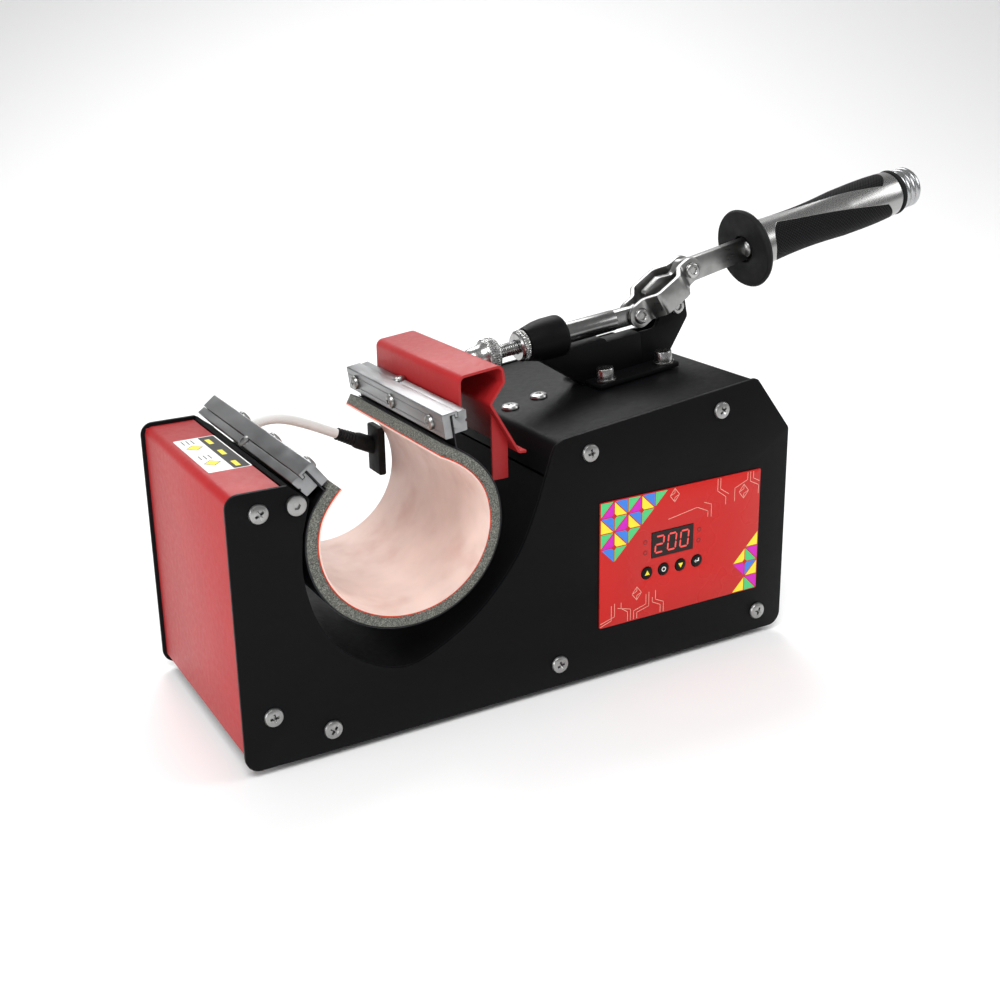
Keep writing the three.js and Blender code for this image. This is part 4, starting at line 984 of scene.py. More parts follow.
class PRESS_OT_housing(Builder):
    """Side plates, end cover, deck, well panel and feet"""
    bl_idname = "press.housing"
    bl_label = "Housing"

    def build(self, sizes):
        edge = sizes.edge / MM
        self.plates(edge)
        self.end_cover()
        self.deck()
        self.well()
        self.feet()
        for node in ("base_panel", "rail_support"):
            repaint(node, "black_powder")

    @staticmethod
    def plates(edge):
        holes = [circle(x, BUTTON_Z, BUTTON_R + GAP) for x in BUTTONS.values()]
        window = rectangle((DISPLAY_X[0] - GAP, DISPLAY_X[1] + GAP), (DISPLAY_Z[0] - GAP, DISPLAY_Z[1] + GAP))
        for name, y, cut in (("front_plate", 0, [*holes, window]), ("back_plate", DEPTH - PLATE, [])):
            shape = bmesh.new()
            add_prism(shape, plate_outline(), y, y + PLATE, cut)
            piece = make(f"{name}_coated", shape, [finish("black_powder")], edge=edge)
            stand_for(piece, "housing", "black_steel", name)

    @staticmethod
    def end_cover():
        left, top = COVER_INSET + SHEET / 2, LOBE_HEIGHT - COVER_INSET - SHEET / 2
        line = [(left, BASE_LIFT), (left, top, 4), (LEFT_RAIL["at"][0] - 18.2, top)]
        shape = bmesh.new()
        add_prism(shape, sheet_section(line, SHEET), *INNER)
        for y0 in (INNER[0], INNER[1] - SHEET):
            add_prism(shape, rectangle((left, left + 22), (BASE_LIFT + 2, top)), y0, y0 + SHEET)
        piece = make("end_cover_coated", shape, [finish("red_powder")], edge=0.2)
        stand_for(piece, "housing", "red_steel", "end_cover")

    @staticmethod
    def deck():
        drop = 0.8 + SHEET / 2
        right = LENGTH - drop
        start = (DECK_CORNER[0] + 1.1, DECK_CORNER[1] - drop)
        line = [(start[0] - 5.6, start[1] - 17), (*start, 5), (PEAK[0] - 0.6, PEAK[1] - drop, 4),
                (right, RIGHT_HEIGHT - 1, 5), (right, 80)]
        shape = bmesh.new()
        add_prism(shape, sheet_section(line, SHEET), *INNER)
        sideways = Matrix(((0, 1, 0, right), (1, 0, 0, 0), (0, 0, 1, 0), (0, 0, 0, 1)))
        holes = [rectangle(*[(low - GAP, high + GAP) for low, high in (part["y"], part["z"])])
                 for part in (INLET, SWITCH)]
        add_prism(shape, rectangle(INNER, (BASE_LIFT + 2.5, 80)), -SHEET / 2, SHEET / 2,
                  [*holes, circle(*FUSE_AT, FUSE_R + GAP)], turn=sideways)
        piece = make("deck_coated", shape, [finish("black_powder")], edge=0.2)
        stand_for(piece, "housing", "black_steel", "top_cover")

    @staticmethod
    def well():
        line = [(8, 83.4), *WELL, (-195, 57.2)]
        outline = well_line(COVER_INSET, line) + well_line(COVER_INSET + SHEET, line)[::-1]
        shape = bmesh.new()
        add_prism(shape, outline, *INNER)
        piece = make("well_panel_coated", shape, [finish("black_powder")])
        stand_for(piece, "housing", "black_steel", "well_panel")

    @staticmethod
    def feet():
        shape = bmesh.new()
        profile = corners([(0, 0), (7.6, 0, 0.6), (9, 1.4, 1.2), (8.6, 10, 0.4), (0, 10)], closed=False)
        add_lathe(shape, profile, (0, 0, 0), (0, 0, 1), 40)
        foot = lift_mesh(make("foot", shape, [finish("rubber")], Matrix.Scale(MM, 4)))
        places = [on_plate(x, y, -4, (0, 0, 1)) for x, y in FEET]
        stand_for(copies("feet", foot, places, finish("rubber")), "housing", "rubber",
                  "foot_1", "foot_2", "foot_3", "foot_4")


class PRESS_OT_screws(Builder):
    """Screws of the side plates, the deck and the rails"""
    bl_idname = "press.screws"
    bl_label = "Screws"

    def build(self, sizes):
        radius = sizes.screw_head / 2
        spins = (0.5, 0.1, 0.9, 0.35, 1.2, 0.7, 0.2)
        places = []
        for (x, z), spin in zip(PLATE_SCREWS, spins):
            places += [on_plate(x, 0, z, (0, -1, 0), spin), on_plate(x, DEPTH, z, (0, 1, 0), spin + 0.4)]
        places.append(on_plate(BUTTON_SCREW[0], DEPTH, BUTTON_SCREW[1], (0, 1, 0), 0.3))
        places += [on_deck(11.7, -3.9, -0.8, spin=0.6), on_deck(33, -0.2, -0.8, spin=0.2)]
        stand_for(copies("housing_screws", pan_head(radius, 0.0023), places, finish("zinc")), "housing", "zinc_steel")
        button = socket_head(radius, 0.0023, 0.0034)
        stand_for(copies("socket_button_screw", button, [on_plate(BUTTON_SCREW[0], 0, BUTTON_SCREW[1], (0, -1, 0))],
                         finish("zinc")), "housing", "zinc_steel")
        for rail, side in ((LEFT_RAIL, "left"), (RIGHT_RAIL, "right")):
            head = pan_head(sizes.bar_screw_head / 2, 0.0024)
            reach = 5 * rail["side"]
            spots = [on_rail(rail, reach, y, BAR_SCREW_Z, (rail["side"], 0, 0), 0.3 + 0.7 * i)
                     for i, y in enumerate(BAR_SCREWS)]
            piece = copies(f"{side}_bar_screws", head, spots, finish("zinc"))
            stand_for(piece, rail["body"], "zinc_steel", *[f"{side}_bar_screw_{i}" for i in (1, 2, 3)])
            spot = on_rail(rail, -6.3 * rail["side"], DEPTH / 2, RAIL_TALL + 0.1, (0, 0, 1), 0.5)
            lock = copies(f"{side}_lock_screw", pan_head(0.0034, 0.0019), [spot], finish("zinc"))
            stand_for(lock, rail["body"], "zinc_steel")


# ---- heater ---------------------------------------------------------------------------------
def smoothstep(value, low, high):
    t = min(max((value - low) / (high - low), 0), 1)
    return t * t * (3 - 2 * t)


def heater_inner(degrees):
    turn = degrees % 360
    right = smoothstep(turn, 12, 61.5) if turn < 90 else 0
    left = 1 - smoothstep(turn, 139, 165) if 90 < turn < 180 else 0
    return 45.2 + 1.7 * math.cos(math.radians(2 * (turn - 170))) - 3 * right - 1.5 * left


def heater_layer(shape, inside, outside, start, end, inset=0.0, step=2.0, finish_index=0):
    """One layer of the heater between two angles, with softly rounded rims."""
    count = round((end - start) / step)
    y0, y1 = HEATER_Y[0] + inset, HEATER_Y[1] - inset
    soft = min(0.35, (outside - inside) / 3)
    ring = [(inside + soft, y0), (outside - soft, y0), (outside - soft * 0.3, y0 + soft * 0.3), (outside, y0 + soft),
            (outside, y1 - soft), (outside - soft * 0.3, y1 - soft * 0.3), (outside - soft, y1), (inside + soft, y1),
            (inside + soft * 0.3, y1 - soft * 0.3), (inside, y1 - soft), (inside, y0 + soft),
            (inside + soft * 0.3, y0 + soft * 0.3)]
    rows = []
    for i in range(count + 1):
        degrees = start + (end - start) * i / count
        row = []
        for extra, y in ring:
            p = polar(degrees, heater_inner(degrees) + extra)
            row.append(shape.verts.new((p.x, y, p.y)))
        rows.append(row)
    faces = []
    for a, b in zip(rows, rows[1:]):
        faces += [shape.faces.new((a[k], a[(k + 1) % 12], b[(k + 1) % 12], b[k])) for k in range(12)]
    faces += [shape.faces.new(rows[0]), shape.faces.new(rows[-1][::-1])]
    bmesh.ops.recalc_face_normals(shape, faces=faces)
    for face in faces:
        face.material_index = finish_index


class PRESS_OT_heater(Builder):
    """Heater wrap: skin, foam blanket and spring band, fixed to the housing on the left and baked in place on no body
    on the right
    """
    bl_idname = "press.heater"
    bl_label = "Heater"

    def build(self, sizes):
        for side, start, end in (("left", LEFT_TIP, 270), ("right", 270, RIGHT_TIP)):
            made = {
                "mat": self.skin(side, start, end),
                "foam": self.layer(side, "foam", *FOAM_LAYER, start, end, 0.15, "foam"),
                "band": self.layer(side, "band", *BAND_LAYER, start + 4 * (side == "left"),
                                   end - 6 * (side == "right"), 0.4, "dark_steel"),
            }
            for layer, piece in made.items():
                if side == "left":
                    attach(piece, "housing")
                else:
                    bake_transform(piece)
                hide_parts(f"heater_{layer}_{side}")
        self.ears()

    @staticmethod
    def skin(side, start, end):
        shape = bmesh.new()
        heater_layer(shape, *SKIN_LAYER, start, end)
        heater_layer(shape, *EDGE_LAYER, start, end, 0.05, finish_index=1)
        return make(f"heater_skin_{side}", shape, [finish("skin"), finish("skin_edge")])

    @staticmethod
    def layer(side, name, inside, outside, start, end, inset, look):
        shape = bmesh.new()
        heater_layer(shape, inside, outside, start, end, inset)
        return make(f"heater_{name}_wrap_{side}", shape, [finish(look)])

    @staticmethod
    def ears():
        """The band's flat ears, held in the gaps of the rails."""
        for rail, side, reach in ((LEFT_RAIL, "left", -2.6), (RIGHT_RAIL, "right", -5.6)):
            shape = bmesh.new()
            add_block(shape, (-0.3, 0.3), (HEATER_Y[0] + 0.4, HEATER_Y[1] - 0.4), (reach, RAIL_TALL - 1.2))
            piece = make(f"band_ear_{side}", shape, [finish("dark_steel")], rail_frame(rail), edge=0.1)
            stand_for(piece, rail["body"], "band")


class PRESS_OT_lead(Builder):
    """Woven heater lead with its gland and boot"""
    bl_idname = "press.lead"
    bl_label = "Heater lead"

    def build(self, sizes):
        route = [Vector((p.x, LEAD_Y, p.y)) for p in spline([Vector(p) for p in LEAD_ROUTE], 90)]
        shape = bmesh.new()
        add_tube(shape, route, sizes.lead / MM / 2, 24)
        lead = make("heater_lead_woven", shape, [finish("sleeve")], degrees=60)
        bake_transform(lead)
        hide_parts("heater_lead")
        self.boot()
        self.gland()

    @staticmethod
    def boot():
        x, z = LEAD_ROUTE[-1]
        slope = math.radians(-26)
        shape = bmesh.new()
        ribs = [(3.2, 0.2), (3.7, 0.3)]
        for i in range(6):
            at, swell = 1.2 + i * 1.9, 0.09 * i
            ribs += [(3.75 + swell, at), (3.2 + swell, at + 0.35), (3.2 + swell, at + 1.1),
                     (3.75 + swell, at + 1.45)]
        add_lathe(shape, [(0, 0.2), *ribs, (4.5, 13.2), (4.9, 14.5), (4.95, 27), (0, 27)], (x, LEAD_Y, z),
                  (math.cos(slope), 0, math.sin(slope)), 32)
        add_prism(shape, rectangle((x + 22, x + 26.5), (99, 128), 1.2), HEATER_Y[1] + GAP, LEAD_Y + 5)
        piece = make("lead_boot", shape, [finish("rubber")], edge=0.4)
        stand_for(piece, "carriage", "rubber", "cable_boot")

    @staticmethod
    def gland():
        shape = bmesh.new()
        profile = corners([(3.3, -4), (4.6, -4), (4.6, 3.4), (6.2, 3.4, 0.4), (5.8, 5.2, 0.6), (3.5, 7, 0.3)],
                          closed=False)
        add_lathe(shape, profile, (37.2, LEAD_Y, 124), (1, 0, 0), 36, closed=True)
        stand_for(make("lead_gland_moulded", shape, [finish("rubber")]), "housing", "rubber", "lead_gland")


# ---- rails and bracket ----------------------------------------------------------------------
class PRESS_OT_rails(Builder):
    """Extruded rails and clamp bars that hold the heater's ends"""
    bl_idname = "press.rails"
    bl_label = "Rails"

    def build(self, sizes):
        slot = 0.6
        back = [(-slot, 1.8, 0.3), (-slot, 4.5), (-slot - 0.35, 4.8), (-slot, 5.1), (-slot, RAIL_TALL - 1, 0.3),
                (-2, RAIL_TALL - 1), (-2, RAIL_TALL - 2.8), (-4, RAIL_TALL - 2.8), (-4, RAIL_TALL, 0.4),
                (-8.8, RAIL_TALL + 0.4, 0.7), (-8.35, 8, 0.2), (-7.6, 7.6), (-7.5, 6.6), (-8.2, 6.2, 0.2),
                (-7.9, 1.8, 0.6)]
        bar = [(slot, 0, 0.3), (5, 0.3, 0.7), (5, 3.1), (4.75, 3.4), (5, 3.7), (5, 9.3), (4.75, 9.6), (5, 9.9),
               (5, RAIL_TALL + 0.8, 0.8), (-3.7, RAIL_TALL + 0.8, 0.5), (-3.7, RAIL_TALL - 2.5, 0.25),
               (-2.3, RAIL_TALL - 2.5, 0.25), (-2.3, RAIL_TALL - 0.7), (slot, RAIL_TALL - 0.7)]
        for rail, side in ((LEFT_RAIL, "left"), (RIGHT_RAIL, "right")):
            for outline, kind in ((back, "rail"), (bar, "clamp_bar")):
                placed = [(a * rail["side"], *rest) for a, *rest in outline]
                shape = bmesh.new()
                add_prism(shape, corners(placed, 5), *rail["y"])
                piece = make(f"{side}_{kind}_extruded", shape, [finish("rail_aluminium")],
                             rail_frame(rail), edge=0.12,
                             degrees=28)
                stand_for(piece, rail["body"], "aluminium", f"{side}_{kind}")


def bracket_line():
    start = axis_at(ADJUSTER_FROM)
    back, z = RIGHT_RAIL["at"][0] + 8.8, start[1]
    return [(back, z - 10.8), (back, z + 13.4, 3.5), (back + 25, z + 16.1, 3.5), (back + 25.9, z + 7.2, 3),
            (back + 17.6, z - 3.4, 2), (back + 34.4, z - 31.9, 2), (back + 38.8, z - 32.2)]


def axis_at(u):
    return (DECK_CORNER[0] + u * math.cos(TILT) - AXIS_HEIGHT * math.sin(TILT),
            DECK_CORNER[1] + u * math.sin(TILT) + AXIS_HEIGHT * math.cos(TILT))


ADJUSTER_FROM = (RIGHT_RAIL["at"][0] + 10.65 - DECK_CORNER[0] + AXIS_HEIGHT * math.sin(TILT)) / math.cos(TILT)


class PRESS_OT_bracket(Builder):
    """Folded push bracket between the right rail and the clamp"""
    bl_idname = "press.bracket"
    bl_label = "Push bracket"

    def build(self, sizes):
        shape = bmesh.new()
        add_prism(shape, sheet_section(bracket_line(), SHEET, 10), 9.5, HEATER_Y[1] - 8)
        back, z = bracket_line()[0][0], axis_at(ADJUSTER_FROM)[1]
        web = [(back + 20.8, z - 46.8), (back + 30.4, z - 46.8), (back + 30.4, z - 26.2), (back + 27.8, z - 20.8),
               (back + 20.8, z - 9.5)]
        add_prism(shape, web, 14.5, 14.5 + SHEET)
        piece = make("push_bracket_coated", shape, [finish("red_powder")], edge=0.3)
        stand_for(piece, "carriage", "red_steel", "push_bracket")


# ---- toggle clamp ---------------------------------------------------------------------------
def add_axis_lathe(shape, profile, u, sides=48, finish_index=0, w=AXIS_HEIGHT):
    """A turned shape about the plunger's axis, from a place along the deck."""
    return add_lathe(shape, profile, (u, 0, w), (1, 0, 0), sides, finish=finish_index)


def cross_pin_profile(half):
    """Both heads and the shank of a headed pin, about its own middle."""
    side = [(0, 1.2), (1.9, 1.2), (2.1, 1.9), (2.5, 2.25), (3.7, 2.25), (4.4, 1.8), (4.7, 1.1), (4.7, 0), (3, 0)]
    return [(r, half + d) for r, d in side] + [(r, -half - d) for r, d in side[::-1]]


class PRESS_OT_clamp(Builder):
    """Clamp body with its guide barrel, bolts, pin and plunger rod"""
    bl_idname = "press.clamp"
    bl_label = "Clamp"

    def build(self, sizes):
        self.body()
        bolt = socket_head(0.0051, 0.0062, 0.005, 0.0062)
        places = [on_deck(u, v, 3.2, spin=0.3 + u) for u, v in BOLTS]
        stand_for(copies("clamp_bolts", bolt, places, finish("nickel")), "housing", "zinc_steel",
                  *[f"clamp_bolt_{i}" for i in (1, 2, 3, 4)])
        shape = bmesh.new()
        add_lathe(shape, cross_pin_profile(6.3), (PIVOT_C, 0, AXIS_HEIGHT), (0, 1, 0), 36)
        stand_for(make("handle_pin_turned", shape, [finish("nickel")], DECK_FRAME, degrees=40), "housing",
                  "zinc_steel", "handle_pin")
        self.rod()

    @staticmethod
    def body():
        web = corners([(31, 24), (44, 14, 6), (61, GAP), (103, GAP), (103, 22), (79.5, 22), (78, 24.2), (50, 24.2),
                       (50, 28), (31, 28)])
        ear = corners([(103, GAP), (119, GAP), (137.6, 24, 3), (136.5, 36, 5), (PIVOT_C, AXIS_HEIGHT + 9, 7),
                       (120.5, 34, 3), (114, 22, 4), (103, 22)])
        shape = bmesh.new()
        add_prism(shape, web, -6, 6)
        add_prism(shape, ear, 3, 6)
        add_prism(shape, ear, -6, -3)
        add_prism(shape, rectangle((62, 119.5), (-21, 21), 3), -3, -GAP, turn=Matrix.Rotation(-math.pi / 2, 4, "X"))
        bore = ROD_R + GAP
        barrel = [(bore, 0), (9.3, 0), (9.6, 0.3), (11.6, 8), (12.1, 12.5), (12.2, 14), (12.2, 21.8), (11.9, 23.4),
                  (11.1, 24.5), (bore, 24.5)]
        add_lathe(shape, barrel, (BARREL_FROM, 0, AXIS_HEIGHT), (1, 0, 0), 56, closed=True)
        piece = make("clamp_body_cast", shape, [finish("black_powder")], DECK_FRAME, edge=0.5)
        stand_for(piece, "housing", "black_steel", "clamp_body")

    @staticmethod
    def rod():
        flat_from, half = PIVOT_A - 15.6, 5.2
        shape = bmesh.new()
        add_axis_lathe(shape, [(4.2, 0.4), (5.7, 0.4), (ROD_R, 0.9), (ROD_R, flat_from - BARREL_FROM - 0.6),
                               (ROD_R - 0.5, flat_from - BARREL_FROM), (0, flat_from - BARREL_FROM)], BARREL_FROM, 56)
        eye = [(flat_from - 2, AXIS_HEIGHT - half), (PIVOT_A - 3, AXIS_HEIGHT - half)]
        eye += [(PIVOT_A + 6.1 * math.cos(a), AXIS_HEIGHT + 6.1 * math.sin(a))
                for a in [math.radians(-100 + 10 * i) for i in range(21)]]
        eye += [(PIVOT_A - 3, AXIS_HEIGHT + half), (flat_from - 2, AXIS_HEIGHT + half)]
        add_prism(shape, [Vector(p) for p in eye], -3.15, 3.15)
        piece = make("plunger_rod_ground", shape, [finish("bright_steel")], DECK_FRAME, edge=0.25)
        stand_for(piece, "carriage", "zinc_steel", "plunger_rod")


def knurled(name, sizes, radius, width, ridges, u, finish_name="zinc", slant=3.0):
    """A knurled band about the plunger's axis. Sizes in millimetres."""
    band = grow(name, knurl_tree(), {"Radius": radius * MM, "Width": width * MM, "Depth": sizes.knurl_depth,
                                     "Ridges": ridges, "Slant": slant}, finish(finish_name))
    along = DECK_FRAME @ facing((1, 0, 0), (u, 0, AXIS_HEIGHT)) @ Matrix.Scale(1 / MM, 4)
    band.data.transform(along)
    return band


class PRESS_OT_adjuster(Builder):
    """Threaded adjuster with its knurled wheel, and the jam nut"""
    bl_idname = "press.adjuster"
    bl_label = "Adjuster"

    def build(self, sizes):
        start = ADJUSTER_FROM
        shape = bmesh.new()
        profile = [(0, start), (6.1, start), (6.5, start + 0.4), (6.5, start + 3.6), (6.1, start + 4),
                   (3.4, start + 4), (3.4, -10.2), (5.2, -9.9), (6.0, -8.6), (6.6, -5.4), (6.7, -3.4),
                   (7.2, -1.6), (8.4, 0.2), (8.95, 1.1),
                   (8.95, 7.2), (8.6, 8), (5.6, 8.3), (5.2, 8.6), (3.45, 8.6), (3.45, 44), (0, 44)]
        add_axis_lathe(shape, profile, 0, 56)
        core = make("adjuster_turned", shape, [finish("nickel")], DECK_FRAME, degrees=40)
        wheel = knurled("adjuster_knurl", sizes, 9.2, 6.2, sizes.wheel_ridges, 1.1)
        threads = [self.thread(sizes, start + 4.2, -10.2), self.thread(sizes, 8.4, 43)]
        stand_for(absorb(core, wheel, *threads), "adjuster", "zinc_steel", "adjuster")
        nut = bmesh.new()
        add_axis_lathe(nut, [(4.25, 0), (7.6, 0), (8.5, 0.9), (8.5, 4.9), (8.2, 5.2), (4.25, 5.2)],
                       BARREL_FROM - 5.5, 48)
        body = make("jam_nut_turned", nut, [finish("nickel")], DECK_FRAME, degrees=40)
        band = knurled("jam_nut_knurl", sizes, 8.85, 3.5, 40, BARREL_FROM - 3.95, "dark_steel")
        stand_for(absorb(body, band), "carriage", "zinc_steel", "jam_nut")

    @staticmethod
    def thread(sizes, start, end):
        ridge = grow("thread", thread_tree(), {"Radius": 3.55 * MM, "Length": (end - start) * MM,
                                               "Pitch": sizes.thread_pitch, "Ridge": 0.45 * MM}, finish("nickel"))
        ridge.data.transform(DECK_FRAME @ facing((1, 0, 0), (start, 0, AXIS_HEIGHT)) @ Matrix.Scale(1 / MM, 4))
        return ridge


# ---- links and handle -----------------------------------------------------------------------
def add_link(shape, side):
    """One link from the plunger's pivot: a strap with round ends, joggled out past the ears."""
    run, rise = PIVOT_B[0] - PIVOT_A, PIVOT_B[1] - AXIS_HEIGHT
    span, half = math.hypot(run, rise), STRAP_WIDTH / 2
    near, far = LINK_END + STRAP / 2, LINK_OUT + STRAP / 2
    line = corners([(-half, near), (6.2, near, 5), (13, far, 5), (span - 12.8, far, 5), (span - 6.2, near, 5),
                    (span + half, near)], 6, closed=False)
    stations = sorted({round(-half + half * (1 - math.cos(math.radians(a))), 3) for a in range(0, 91, 10)}
                      | {round(span + half * math.sin(math.radians(a)), 3) for a in range(0, 91, 10)}
                      | {round(p.x, 3) for p in line})
    turn = Matrix.Translation((PIVOT_A, 0, AXIS_HEIGHT)) @ Matrix.Rotation(-math.atan2(rise, run), 4, "Y")
    rows = []
    for x in stations:
        over = max(-x, x - span, 0)
        wide = max(math.sqrt(max(half ** 2 - over ** 2, 0)), 0.35)
        y, slope = joggle(line, x)
        thick = STRAP / 2 * math.sqrt(1 + slope ** 2)
        rows.append([shape.verts.new(turn @ Vector((x, side * (y + b * thick), a * wide)))
                     for a, b in ((-1, -1), (1, -1), (1, 1), (-1, 1))])
    faces = []
    for a, b in zip(rows, rows[1:]):
        faces += [shape.faces.new((a[k], a[(k + 1) % 4], b[(k + 1) % 4], b[k])) for k in range(4)]
    faces += [shape.faces.new(rows[0]), shape.faces.new(rows[-1][::-1])]
    bmesh.ops.recalc_face_normals(shape, faces=faces)
    return turn


def joggle(line, x):
    """Height and slope of a link's centre line."""
    for a, b in zip(line, line[1:]):
        if a.x - 1e-4 <= x <= b.x + 1e-4 and b.x - a.x > 1e-6:
            slope = (b.y - a.y) / (b.x - a.x)
            return a.y + slope * (x - a.x), slope
    return line[-1].y, 0


def add_along_grip(shape, profile, sides=64, closed=False, finish_index=0):
    tilt = math.radians(GRIP_TILT)
    return add_lathe(shape, profile, (GRIP_AT[0], 0, GRIP_AT[1]), (math.cos(tilt), 0, math.sin(tilt)), sides,
                     closed=closed, finish=finish_index)


class PRESS_OT_links(Builder):
    """Joggled links with their rivets, and the flat handle bar"""
    bl_idname = "press.links"
    bl_label = "Links and handle bar"

    def build(self, sizes):
        head = [(0, 1.1), (1.9, 1.1), (2.1, 1.8), (2.5, 2.2), (3.7, 2.2), (4.4, 1.7), (4.7, 1.0), (4.7, -0.6)]
        for side, name in ((-1, "near"), (1, "far")):
            shape = bmesh.new()
            add_link(shape, side)
            piece = make(f"link_{name}_pressed", shape, [finish("flat_steel")], DECK_FRAME, edge=0.35)
            rivet = bmesh.new()
            add_lathe(rivet, head, (PIVOT_A, side * (LINK_END + STRAP), AXIS_HEIGHT), (0, side, 0), 36)
            piece = absorb(piece, make("rivet", rivet, [finish("nickel")], DECK_FRAME, degrees=40))
            stand_for(piece, "links", "zinc_steel", f"link_{name}")
        shape = bmesh.new()
        add_lathe(shape, cross_pin_profile(LINK_END + STRAP + GAP), (PIVOT_B[0], 0, PIVOT_B[1]), (0, 1, 0), 36)
        stand_for(make("link_pin_turned", shape, [finish("nickel")], DECK_FRAME, degrees=40), "links", "zinc_steel",
                  "link_pin")
        self.bar()

    @staticmethod
    def bar():
        bu, bw = PIVOT_B
        u = GRIP_AT[0] + 2
        outline = corners([(PIVOT_C - 8.2, AXIS_HEIGHT - 4, 5), (PIVOT_C, AXIS_HEIGHT - 9, 7),
                           (PIVOT_C + 8, AXIS_HEIGHT - 4, 6), (PIVOT_C + 9, AXIS_HEIGHT + 4, 6), (bu + 2, bw - 8.6, 5),
                           (u, 47), (u, 60.4), (bu + 5.5, bw + 6, 5), (bu - 5.5, bw + 6.6, 4), (bu - 10.5, bw - 0.8, 4),
                           (121.5, 50.4, 3), (110.6, 43.6, 2), (113, 39.4, 2)])
        shape = bmesh.new()
        add_prism(shape, outline, -2.5, 2.5)
        piece = make("handle_bar", shape, [finish("flat_steel")], DECK_FRAME, edge=0.5)
        core = bmesh.new()
        add_along_grip(core, [(0, 2.5), (4.6, 2.5), (5.4, 3.4), (5.4, GRIP_LENGTH + 10), (0, GRIP_LENGTH + 10)], 32)
        bead = bmesh.new()
        add_along_grip(bead, [(0, -0.5), (3.4, -0.4), (5.2, 0.6), (6.2, 2.2), (6.0, 3.4), (5.2, 4.2), (0, 4.2)], 20)
        for vert in bead.verts:
            wave = math.sin(vert.co.x * 5.1) + math.sin(vert.co.y * 4.3 + 1) + math.sin(vert.co.z * 4.7 + 2)
            vert.co += vert.co.normalized() * 0.12 * wave
        piece = absorb(piece, make("core", core, [finish("zinc")], DECK_FRAME),
                       make("weld", bead, [finish("weld")], DECK_FRAME, degrees=70))
        stand_for(piece, "handle", "zinc_steel", "handle_plate")


class PRESS_OT_grip(Builder):
    """Grip with its rubber flange, swirled sleeve, rings and ribbed end cap"""
    bl_idname = "press.grip"
    bl_label = "Grip"

    def build(self, sizes):
        core, at = 5.8, SLEEVE_AT
        flange = corners([(core + 2.6, 0.4, 0.4), (23.2, 0, 1.2), (24.4, 1.9, 0.8), (23.4, 4.2, 1.2), (18, 6.4, 2),
                          (GRIP_R + 0.5, at - 0.8, 0.8), (GRIP_R - 0.6, at - GAP), (core, at - GAP), (core, 4),
                          (core + 2.6, 3)], 5)
        self.turned("grip_flange_moulded", [tuple(p) for p in flange], "rubber", "rubber", "grip_flange")
        sleeve = []
        for i in range(49):
            t = i / 48
            swell = -1.1 * math.sin(math.pi * min(t / 0.6, 1)) + 0.9 * math.sin(math.pi * t ** 3)
            sleeve.append((GRIP_R + swell, at + GRIP_LENGTH * t))
        ends = [(core, at + GRIP_LENGTH), (core, at)]
        self.turned("grip_sleeve_swirled", [*sleeve, *ends], "grip", "grip", "grip_sleeve", sides=96)
        ring = at + GRIP_LENGTH + GAP
        bright = [(5.6, ring), (12.6, ring), (13.2, ring + 0.3), (13.3, ring + 1.0), (12.8, ring + 1.5),
                  (5.6, ring + 1.5)]
        seal = corners([(5.6, ring + 1.5), (13.8, ring + 1.5, 0.8), (14.8, ring + 3.1, 1.2), (13.6, ring + 4.6, 0.9),
                        (5.6, ring + 4.6)], 5)
        shape = bmesh.new()
        add_along_grip(shape, bright, closed=True)
        add_along_grip(shape, [tuple(p) for p in seal], closed=True, finish_index=1)
        piece = make("grip_rings", shape, [finish("turned_aluminium"), finish("rubber")], DECK_FRAME, degrees=40)
        stand_for(piece, "handle", "rubber", "grip_ring")
        end = ring + 4.6 + GAP
        cap = [(0, end), (11.7, end)]
        for i in range(3):
            low = end + 1 + 4 * i
            cap += [(11.8, low - 0.5), (12.6, low), (12.8, low + 0.4), (12.8, low + 2.2), (12.6, low + 2.6),
                    (11.7, low + 3)]
        cap += [(11.5, end + 13), (10.9, end + 13.6), (6.8, end + 13.6), (6.4, end + 12.8), (0, end + 12.6)]
        self.turned("grip_cap_turned", cap, "turned_aluminium", "aluminium", "grip_cap", closed=False)

    @staticmethod
    def turned(name, profile, look, slot, node, sides=72, closed=True):
        shape = bmesh.new()
        add_along_grip(shape, profile, sides, closed)
        stand_for(make(name, shape, [finish(look)], DECK_FRAME, degrees=40), "handle", slot, node)


# ---- control panel --------------------------------------------------------------------------
def add_patch(shape, points, y, index):
    """A flat printed patch that faces the front."""
    face = shape.faces.new([shape.verts.new((x, y, z)) for x, z in points])
    face.normal_update()
    if face.normal.y > 0:
        face.normal_flip()
    face.material_index = index


def add_line(shape, points, wide, y, index):
    """A printed line of straight runs."""
    for (x0, z0), (x1, z1) in zip(points, points[1:]):
        along = Vector((x1 - x0, z1 - z0)).normalized()
        side = Vector((-along.y, along.x)) * wide / 2
        a, b = Vector((x0, z0)) - along * wide / 2, Vector((x1, z1)) + along * wide / 2
        add_patch(shape, [a + side, b + side, b - side, a - side], y, index)


SEGMENTS = {"0": "abcdef", "1": "bc", "2": "abged", "3": "abgcd", "4": "fgbc", "5": "afgcd", "6": "afgedc",
            "7": "abc", "8": "abcdefg", "9": "abcdfg"}
MOSAIC_INKS = ["ink_green", "ink_magenta", "ink_yellow", "ink_blue"]


